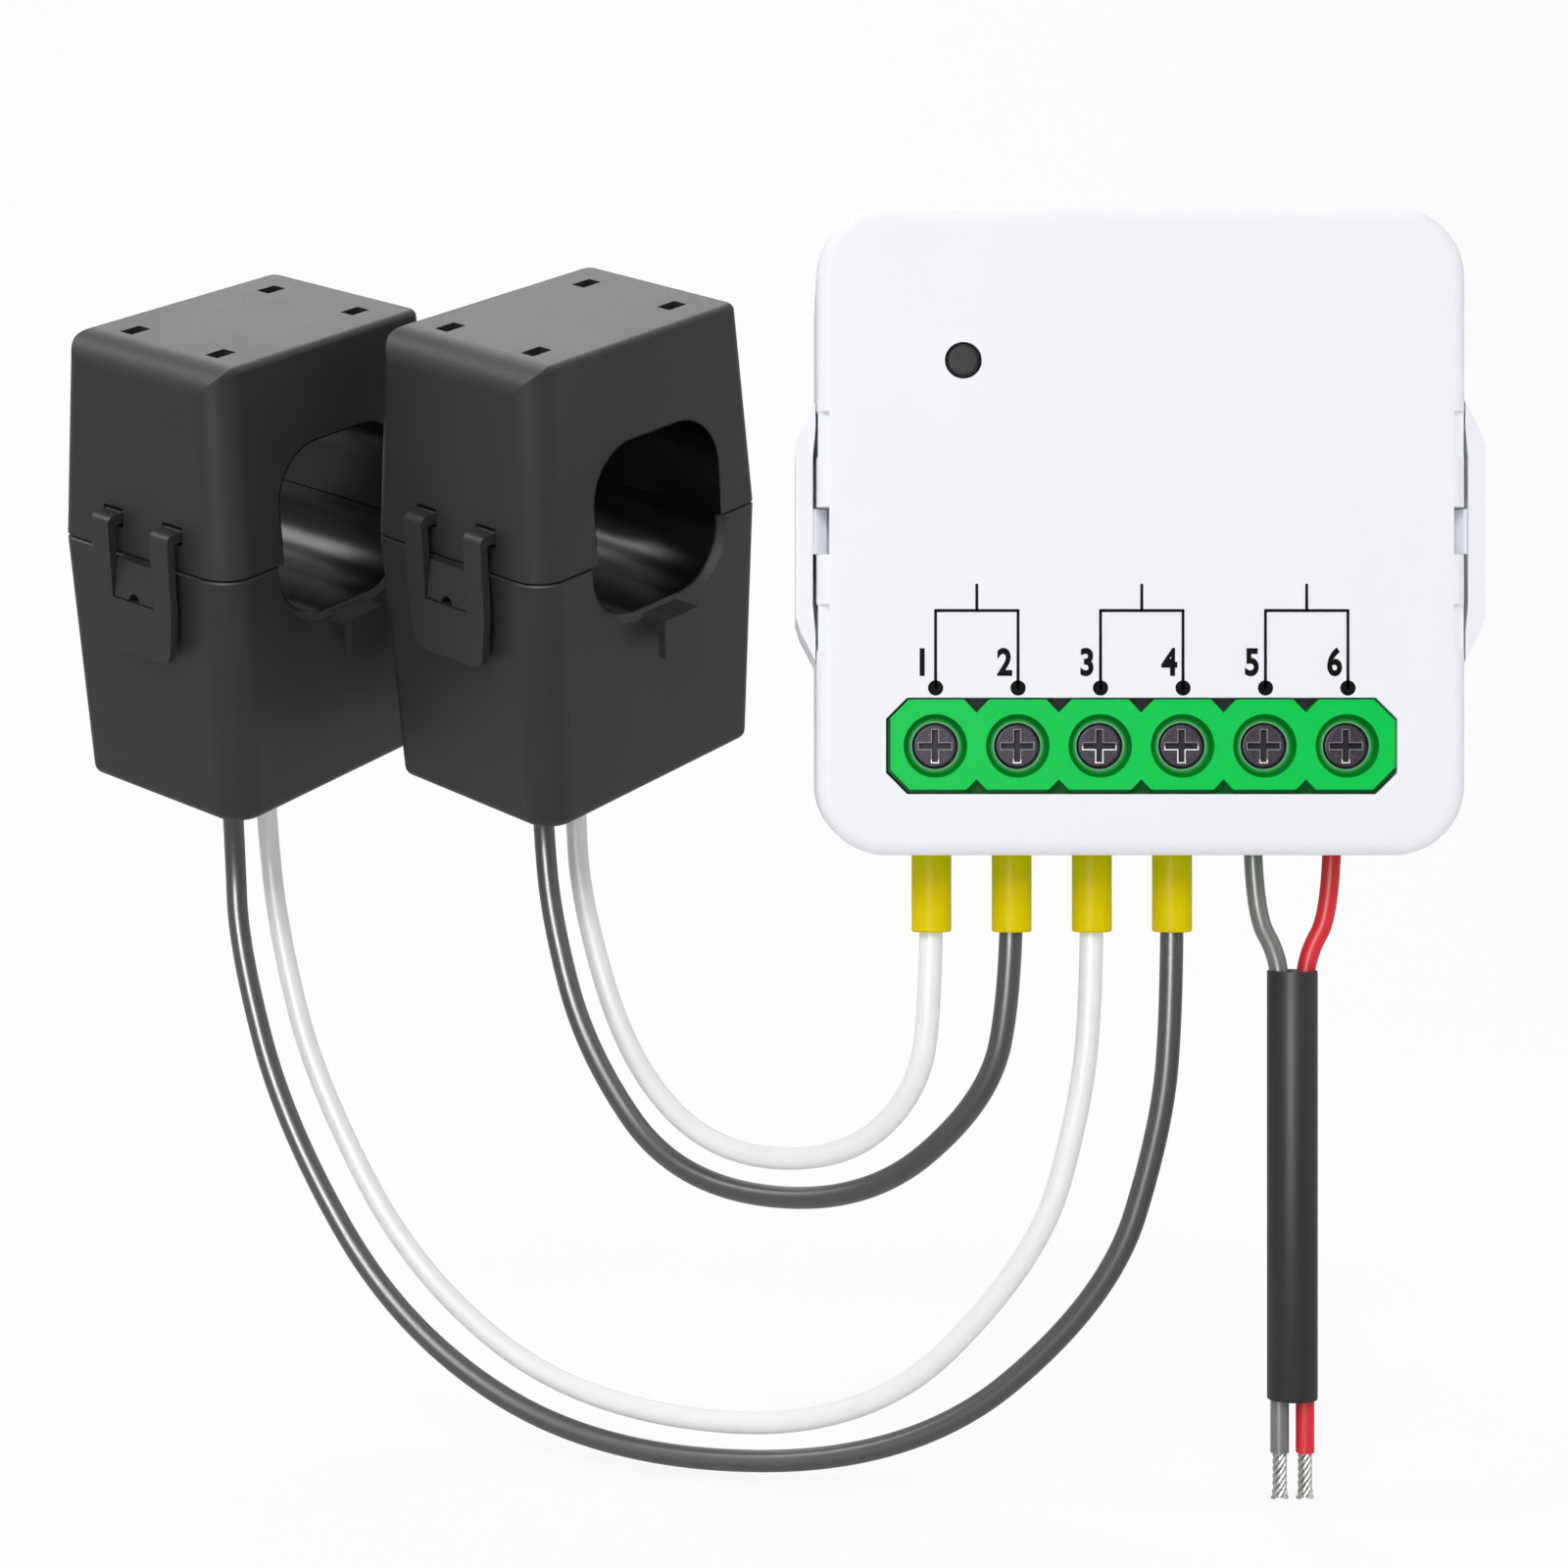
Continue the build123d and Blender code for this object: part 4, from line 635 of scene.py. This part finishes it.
terminal_spots = [(number - 2.5) * PITCH for number in range(6)]
marks = []
for number, spot in enumerate(terminal_spots):
    marks.append(ink_dot(spot, DOT_Z))
    marks.append(ink_line((spot, DOT_Z), (spot, PAIR_Z)))
    marks.append(ink_number(number + 1, spot + NUMBER_SHIFT, NUMBER_Z))
for left_spot, right_spot in zip(terminal_spots[::2], terminal_spots[1::2]):
    marks.append(ink_line((left_spot, PAIR_Z), (right_spot, PAIR_Z)))
    middle = (left_spot + right_spot) / 2
    marks.append(ink_line((middle, PAIR_Z), (middle, FORK_Z)))
deselect_all()
for mark in marks:
    mark.select_set(True)
bpy.context.view_layer.objects.active = marks[0]
bpy.ops.object.join()
printing = settle(bpy.context.object, "cover_printing", ink_finish(), 30)
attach(printing, "meter")


# The boards: glass and epoxy sheet with a green varnish over copper tracks, cut edges bare.
# They stand on the housing's pegs, and the radio board stands off the main one.
BOARD_HALF, BARE_EDGE = 21.1, 0.03
TRACK_PITCH, TRACK_HALF = 1.27, 0.14
PAD_PITCH, PAD_REACH = 4 * TRACK_PITCH, 0.55


def board_finish():
    finish, place, shader = new_finish("green_varnished_board", Specular_IOR_Level=0.5)
    across, depth, up = place.axes()
    clouds = place.noise(7, detail=3)
    colour = clouds.colours(shade((14, 92, 48)), shade((20, 108, 58)))
    # tracks run upright in some fields and level in others, with tinned pads between them
    fields = place.noise(6.5, detail=0)
    upright = abs((across % (TRACK_PITCH * MM)) - TRACK_PITCH / 2 * MM) < TRACK_HALF * MM
    level = abs((up % (TRACK_PITCH * MM)) - TRACK_PITCH / 2 * MM) < TRACK_HALF * MM
    tracks = upright * (fields > 0.53) + level * (fields < 0.47)
    colour = (tracks * 0.8).colours(colour, shade((40, 142, 78)))
    pad_x = (across % (PAD_PITCH * MM)) - PAD_PITCH / 2 * MM
    pad_z = (up % (PAD_PITCH * MM)) - PAD_PITCH / 2 * MM
    pads = ((pad_x ** 2 + pad_z ** 2) ** 0.5 < PAD_REACH * MM) * (clouds > 0.5)
    colour = pads.colours(colour, shade((196, 197, 194)))
    bare_from = (BOARD_HALF - BARE_EDGE) * MM
    edge = (abs(across) > bare_from) + (abs(up) > bare_from)
    colour = edge.colours(colour, shade((158, 150, 96)))
    feed(shader, Base_Color=colour, Metallic=pads * 0.8, Roughness=0.3 + clouds * 0.12,
         Normal=(tracks + pads).bump(0.02, 0.5))
    return finish


dress(board_finish(), "main_board", "radio_board")
dress(tinned_copper, "radio_shield")


# The parts on the boards: a moulded chip and switch, sleeved capacitor cans, a ferrite choke,
# a lacquered fusible resistor and a dipped surge arrester, each soldered by its tinned legs.
def epoxy_finish():
    finish, place, shader = new_finish("moulded_black_epoxy", Specular_IOR_Level=0.4)
    grain = place.noise(0.18, detail=3)
    colour = grain.colours(shade((26, 26, 27)), shade((36, 36, 37)))
    feed(shader, Base_Color=colour, Roughness=grain * 0.2 + 0.5, Normal=grain.bump(0.01, 0.5))
    return finish


CAN_SPOTS, CAN_Z, CAN_TOP = (-17.0, -10.0), -3.5, 13.2
STRIPE_LEVEL, STRIPE_HALF = 2.2, 1.1
BARE_TOP_REACH, TOP_SKIN = 2.6, 0.05


def capacitor_finish():
    """A shrunk dark sleeve with a pale stripe at the minus leg, and a bare aluminium top."""
    finish, place, shader = new_finish("capacitor_sleeve_film", Specular_IOR_Level=0.6)
    across, depth, up = place.axes()
    clouds = place.noise(1.5, detail=2)
    colour = clouds.colours(shade((30, 34, 52)), shade((38, 42, 62)))
    middle = (CAN_SPOTS[0] + CAN_SPOTS[1]) / 2
    aside = abs(across - middle * MM) - (CAN_SPOTS[1] - CAN_SPOTS[0]) / 2 * MM
    above = up - CAN_Z * MM
    stripe = (above > STRIPE_LEVEL * MM) * (abs(aside) < STRIPE_HALF * MM)
    colour = stripe.colours(colour, shade((206, 208, 214)))
    reach = (aside ** 2 + above ** 2) ** 0.5
    top = (depth < -(CAN_TOP - TOP_SKIN) * MM) * (reach < BARE_TOP_REACH * MM)
    colour = top.colours(colour, shade((200, 201, 203)))
    feed(shader, Base_Color=colour, Metallic=top, Roughness=0.26 + clouds * 0.1)
    return finish


def choke_finish():
    finish, place, shader = new_finish("fired_ferrite", Specular_IOR_Level=0.5)
    grain = place.noise(0.25, detail=4, roughness=0.7)
    feed(shader, Base_Color=grain.colours(shade((44, 43, 44)), shade((74, 73, 74))),
         Roughness=grain * 0.3 + 0.35, Normal=grain.bump(0.02, 0.5))
    return finish


FUSE_MIDDLE, FUSE_BODY, BAND_HALF = 13.93, 3.75, 0.26
FUSE_BANDS = ((-2.2, (92, 52, 26)), (-1.1, (24, 24, 26)), (0.0, (24, 24, 26)),
              (2.0, (196, 156, 66)))


def lacquer_finish():
    """Green flameproof lacquer on a ceramic rod, with four plain colour bands."""
    finish, place, shader = new_finish("green_resistor_lacquer", Specular_IOR_Level=0.4)
    across, depth, up = place.axes()
    clouds = place.noise(0.7, detail=3)
    colour = clouds.colours(shade((62, 116, 92)), shade((76, 132, 106)))
    for shift, band in FUSE_BANDS:
        ring = abs(across - (FUSE_MIDDLE + shift) * MM) < BAND_HALF * MM
        colour = ring.colours(colour, shade(band))
    legs = abs(across - FUSE_MIDDLE * MM) > FUSE_BODY * MM
    colour = legs.colours(colour, shade((198, 197, 193)))
    feed(shader, Base_Color=colour, Metallic=legs * 0.9, Roughness=clouds * 0.15 + 0.32,
         Normal=clouds.bump(0.03, 0.4))
    return finish


LEG_DEPTH = -5.6


def dipped_finish():
    """Blue epoxy in which the disc was dipped, uneven where it ran, over tinned legs."""
    finish, place, shader = new_finish("blue_dipped_epoxy", Specular_IOR_Level=0.5)
    across, depth, up = place.axes()
    runs = place.noise(1.6, detail=3)
    colour = runs.colours(shade((28, 66, 142)), shade((40, 84, 166)))
    legs = depth > LEG_DEPTH * MM
    colour = legs.colours(colour, shade((198, 197, 193)))
    feed(shader, Base_Color=colour, Metallic=legs * 0.9, Roughness=runs * 0.15 + 0.2,
         Normal=runs.bump(0.08, 0.4))
    return finish


dress(epoxy_finish(), "metering_chip", "tact_switch")
dress(capacitor_finish(), "power_capacitors")
dress(choke_finish(), "power_inductor")
dress(lacquer_finish(), "fuse_resistor")
dress(dipped_finish(), "surge_varistor")


# The clamps: halves moulded in black nylon with a fine spark-eroded grain, a little uneven in
# its gloss. The window's wall is smooth and glossy from its tool, and painted darker as shade.
CLAMPS = {
    "right": ((-42.23, 6.0, 3.1), (49.7, 26.4, 0.0)),
    "left": ((-67.81, 10.96, 3.5), (55.8, 25.6, 2.1)),
}
WINDOW_MIDDLE = (0.93, 1.81)
WINDOW_HALF = (7.02, 7.07)
WINDOW_CORNER = 4.5
WINDOW_SKIN, WINDOW_DEPTH = 0.12, 8.9


def in_clamp(place, middle, turns):
    """The place in one clamp's own frame: its width, its depth and its height."""
    yaw, lean, roll = (math.radians(turn) for turn in turns)
    moved = place.node("ShaderNodeVectorMath", {"operation": "SUBTRACT"},
                       {0: place, 1: Vector(middle) * MM}, output="Vector")
    for axis, angle in (("Y_AXIS", roll), ("X_AXIS", lean), ("Z_AXIS", yaw)):
        moved = place.node("ShaderNodeVectorRotate", {"rotation_type": axis},
                           {"Vector": moved, "Angle": -angle}, output="Vector")
    return moved


def clamp_finish(side):
    finish, place, shader = new_finish(side + "_clamp_nylon", Specular_IOR_Level=0.4)
    own = in_clamp(place, *CLAMPS[side])
    across, depth, up = own.axes()
    clouds = place.noise(6, detail=4)
    grain = place.noise(0.16, detail=2)
    pits = place.noise(0.06, detail=1)
    colour = clouds.colours(shade((38, 38, 39)), shade((45, 45, 46)))
    # painted shade inside the window, which is a rounded square in the clamp's own frame; the
    # same mask makes the wall smoother
    sideways = abs(across - WINDOW_MIDDLE[0] * MM) - (WINDOW_HALF[0] - WINDOW_CORNER) * MM
    upwards = abs(up - WINDOW_MIDDLE[1] * MM) - (WINDOW_HALF[1] - WINDOW_CORNER) * MM
    sideways = own.math("MAXIMUM", sideways, 0.0)
    upwards = own.math("MAXIMUM", upwards, 0.0)
    outside = (sideways ** 2 + upwards ** 2) ** 0.5 - WINDOW_CORNER * MM
    window_shade_and_gloss = (outside < WINDOW_SKIN * MM) * (abs(depth) < WINDOW_DEPTH * MM)
    colour = window_shade_and_gloss.colours(colour, shade((9, 9, 10)))
    rough = 0.46 + (grain - 0.5) * 0.2 + (clouds - 0.5) * 0.08
    feed(shader, Base_Color=colour, Roughness=rough * (1 - window_shade_and_gloss * 0.5),
         Normal=(grain + pits * 0.5).bump(0.012, 0.6))
    return finish


SHEET_PITCH, SHEET_GAP = 0.35, 0.05
TURN_PITCH = 0.16


def core_finish(side):
    """Silicon steel stampings in a stack: a fine line between each and the next."""
    finish, place, shader = new_finish(side + "_core_stampings", Metallic=0.9)
    across, depth, up = in_clamp(place, *CLAMPS[side]).axes()
    sheets = (depth % (SHEET_PITCH * MM)) > SHEET_GAP * MM
    stain = place.noise(2.0, detail=3)
    colour = stain.colours(shade((118, 118, 122)), shade((146, 146, 150)))
    feed(shader, Base_Color=sheets.colours(shade((54, 54, 58)), colour),
         Roughness=stain * 0.2 + 0.35, Normal=sheets.bump(0.02, 0.5))
    return finish


def winding_finish(side):
    """Enamelled copper wire in close turns round the bobbin."""
    finish, place, shader = new_finish(side + "_enamelled_winding", Metallic=0.6)
    across, depth, up = in_clamp(place, *CLAMPS[side]).axes()
    turn = abs((across % (TURN_PITCH * MM)) - TURN_PITCH / 2 * MM) / (TURN_PITCH / 2 * MM)
    shift = place.noise(1.2, detail=2)
    # painted light and shade: each turn lighter in its middle and darker toward the grooves
    # between turns
    colour = turn.colours(shade((204, 112, 62)), shade((112, 48, 22)))
    feed(shader, Base_Color=colour, Roughness=shift * 0.15 + 0.25,
         Normal=(1 - turn ** 2).bump(0.04, 0.7))
    return finish


def bobbin_finish():
    finish, place, shader = new_finish("natural_bobbin_nylon", Specular_IOR_Level=0.4)
    clouds = place.noise(2.5, detail=3)
    feed(shader, Base_Color=clouds.colours(shade((222, 219, 208)), shade((234, 231, 221))),
         Roughness=clouds * 0.12 + 0.4)
    return finish


bobbin_nylon = bobbin_finish()
for side in CLAMPS:
    dress(core_finish(side), side + "_upper_core", side + "_lower_core")
    dress(winding_finish(side), side + "_coil_winding")
    dress(bobbin_nylon, side + "_coil_bobbin")
    dress(clamp_finish(side), side + "_upper_shell", side + "_lower_shell",
          side + "_latch_frame")
    dress(zinc_steel, side + "_hinge_pin", side + "_core_spring")


# The studio: a pale floor that runs up into a backdrop behind the set, with broad lamps high in
# front, above, behind and on each side, and an upright strip that draws the cords' highlights.
FLOOR_LEVEL = -71.6
FLOOR_HALF = 1400
BACKDROP_AT = 700
SWEEP_RADIUS = 300
PAPER_GLOW = 0.86
# the paper's level in reflections rises by this much between these two depths
MIRROR_LOW, MIRROR_RISE, MIRROR_FROM, MIRROR_TO = 0.2, 0.4, -45, 20


def backdrop_finish():
    """Pale paper, which the camera sees as nearly white, and mirrors dimmer before the set."""
    finish, place, shader = new_finish("pale_paper", Roughness=0.9, Specular_IOR_Level=0.1)
    fibres = place.noise(2.0, detail=3)
    feed(shader, Base_Color=fibres.colours((0.86, 0.86, 0.86, 1), (0.9, 0.9, 0.9, 1)))
    tree = shader.id_data
    across, depth, up = place.axes()
    mirror_level = MIRROR_LOW + depth.between(MIRROR_FROM * MM, MIRROR_TO * MM) * MIRROR_RISE
    paths = tree.nodes.new("ShaderNodeLightPath")
    seen = Mark(tree, paths.outputs["Is Camera Ray"])
    mirrored = Mark(tree, paths.outputs["Is Glossy Ray"])
    through = Mark(tree, paths.outputs["Is Transmission Ray"])
    level = seen + through + mirrored * mirror_level
    glow = seen.node("ShaderNodeEmission", {}, {"Color": (1, 1, 1, 1), "Strength": level})
    share = (seen + mirrored + through) * PAPER_GLOW
    surface = glow.node("ShaderNodeMixShader", {}, {0: share, 2: glow})
    tree.links.new(shader.outputs[0], surface.output.node.inputs[1])
    tree.links.new(surface.output, tree.nodes["Material Output"].inputs["Surface"])
    return finish


deselect_all()
bpy.ops.mesh.primitive_plane_add(size=2 * FLOOR_HALF * MM)
floor = bpy.context.object
floor.location = (0, (BACKDROP_AT - FLOOR_HALF) * MM, FLOOR_LEVEL * MM)
bpy.ops.object.transform_apply(location=True)
pick(floor, "EDGE", lambda start, end: min(start.y, end.y) > BACKDROP_AT - 1)
bpy.ops.mesh.extrude_region_move(
    TRANSFORM_OT_translate={"value": (0, 0, FLOOR_HALF * MM)})
pick(floor, "EDGE", lambda start, end: min(start.y, end.y) > BACKDROP_AT - 1 and
     max(start.z, end.z) < FLOOR_LEVEL + 1)
bpy.ops.mesh.bevel(offset=SWEEP_RADIUS * MM, segments=16, affect="EDGES")
settle(floor, "studio_floor", backdrop_finish(), 60)


def soft_lamp(name, place, target, size, power):
    """A square area lamp that faces a point, places in metres."""
    bpy.ops.object.light_add(type="AREA", location=place)
    lamp = bpy.context.object
    lamp.name = name
    lamp.data.size = size
    lamp.data.energy = power
    lamp.rotation_euler = (Vector(target) - Vector(place)).to_track_quat("-Z", "Y").to_euler()
    return lamp


MIDDLE = (-0.025, 0.0, -0.018)
soft_lamp("front_lamp", (-0.1, -0.75, 0.5), MIDDLE, 0.4, 3.7)
soft_lamp("left_lamp", (-0.72, -0.13, 0.62), MIDDLE, 0.3, 1.9)
soft_lamp("right_lamp", (0.9, -0.35, 0.15), MIDDLE, 0.6, 1.0)
soft_lamp("top_lamp", (-0.05, 0.1, 0.9), MIDDLE, 0.8, 2.2)
soft_lamp("back_lamp", (-0.14, 0.5, 0.62), MIDDLE, 0.36, 1.0)
strip = soft_lamp("strip_lamp", (-0.18, -0.6, -0.02), MIDDLE, 0.15, 9.0)
strip.data.shape = "RECTANGLE"
strip.data.size_y = 0.5
strip.visible_diffuse = False

# The air round the set is white to the camera, and in reflections white above and behind the
# set but dim before it, where a dark room makes the curved edges of dark pieces read.
AIR_LEVEL = 0.31
BEHIND_SHARE, ABOVE_SHARE, BEFORE_LEVEL = 0.6, 0.4, 0.1
world = bpy.data.worlds.new("studio_air")
scene.world = world
world.use_nodes = True
air = world.node_tree
sky = air.nodes["Background"]
sky.inputs["Color"].default_value = (1, 1, 1, 1)
direction = Mark(air).node("ShaderNodeTexCoord", {}, {}, output="Generated")
sideways, backwards, upwards = direction.axes()
behind = backwards.between(-0.9, 0.3)
above = upwards.between(0.1, 0.7)
paths = air.nodes.new("ShaderNodeLightPath")
seen = Mark(air, paths.outputs["Is Camera Ray"])
mirrored = Mark(air, paths.outputs["Is Glossy Ray"])
through = Mark(air, paths.outputs["Is Transmission Ray"])
white = seen + through
reflected = mirrored * (behind * BEHIND_SHARE + above * ABOVE_SHARE + BEFORE_LEVEL)
unseen = 1 - white - mirrored
air.links.new((white + reflected + unseen * AIR_LEVEL).output, sky.inputs["Strength"])
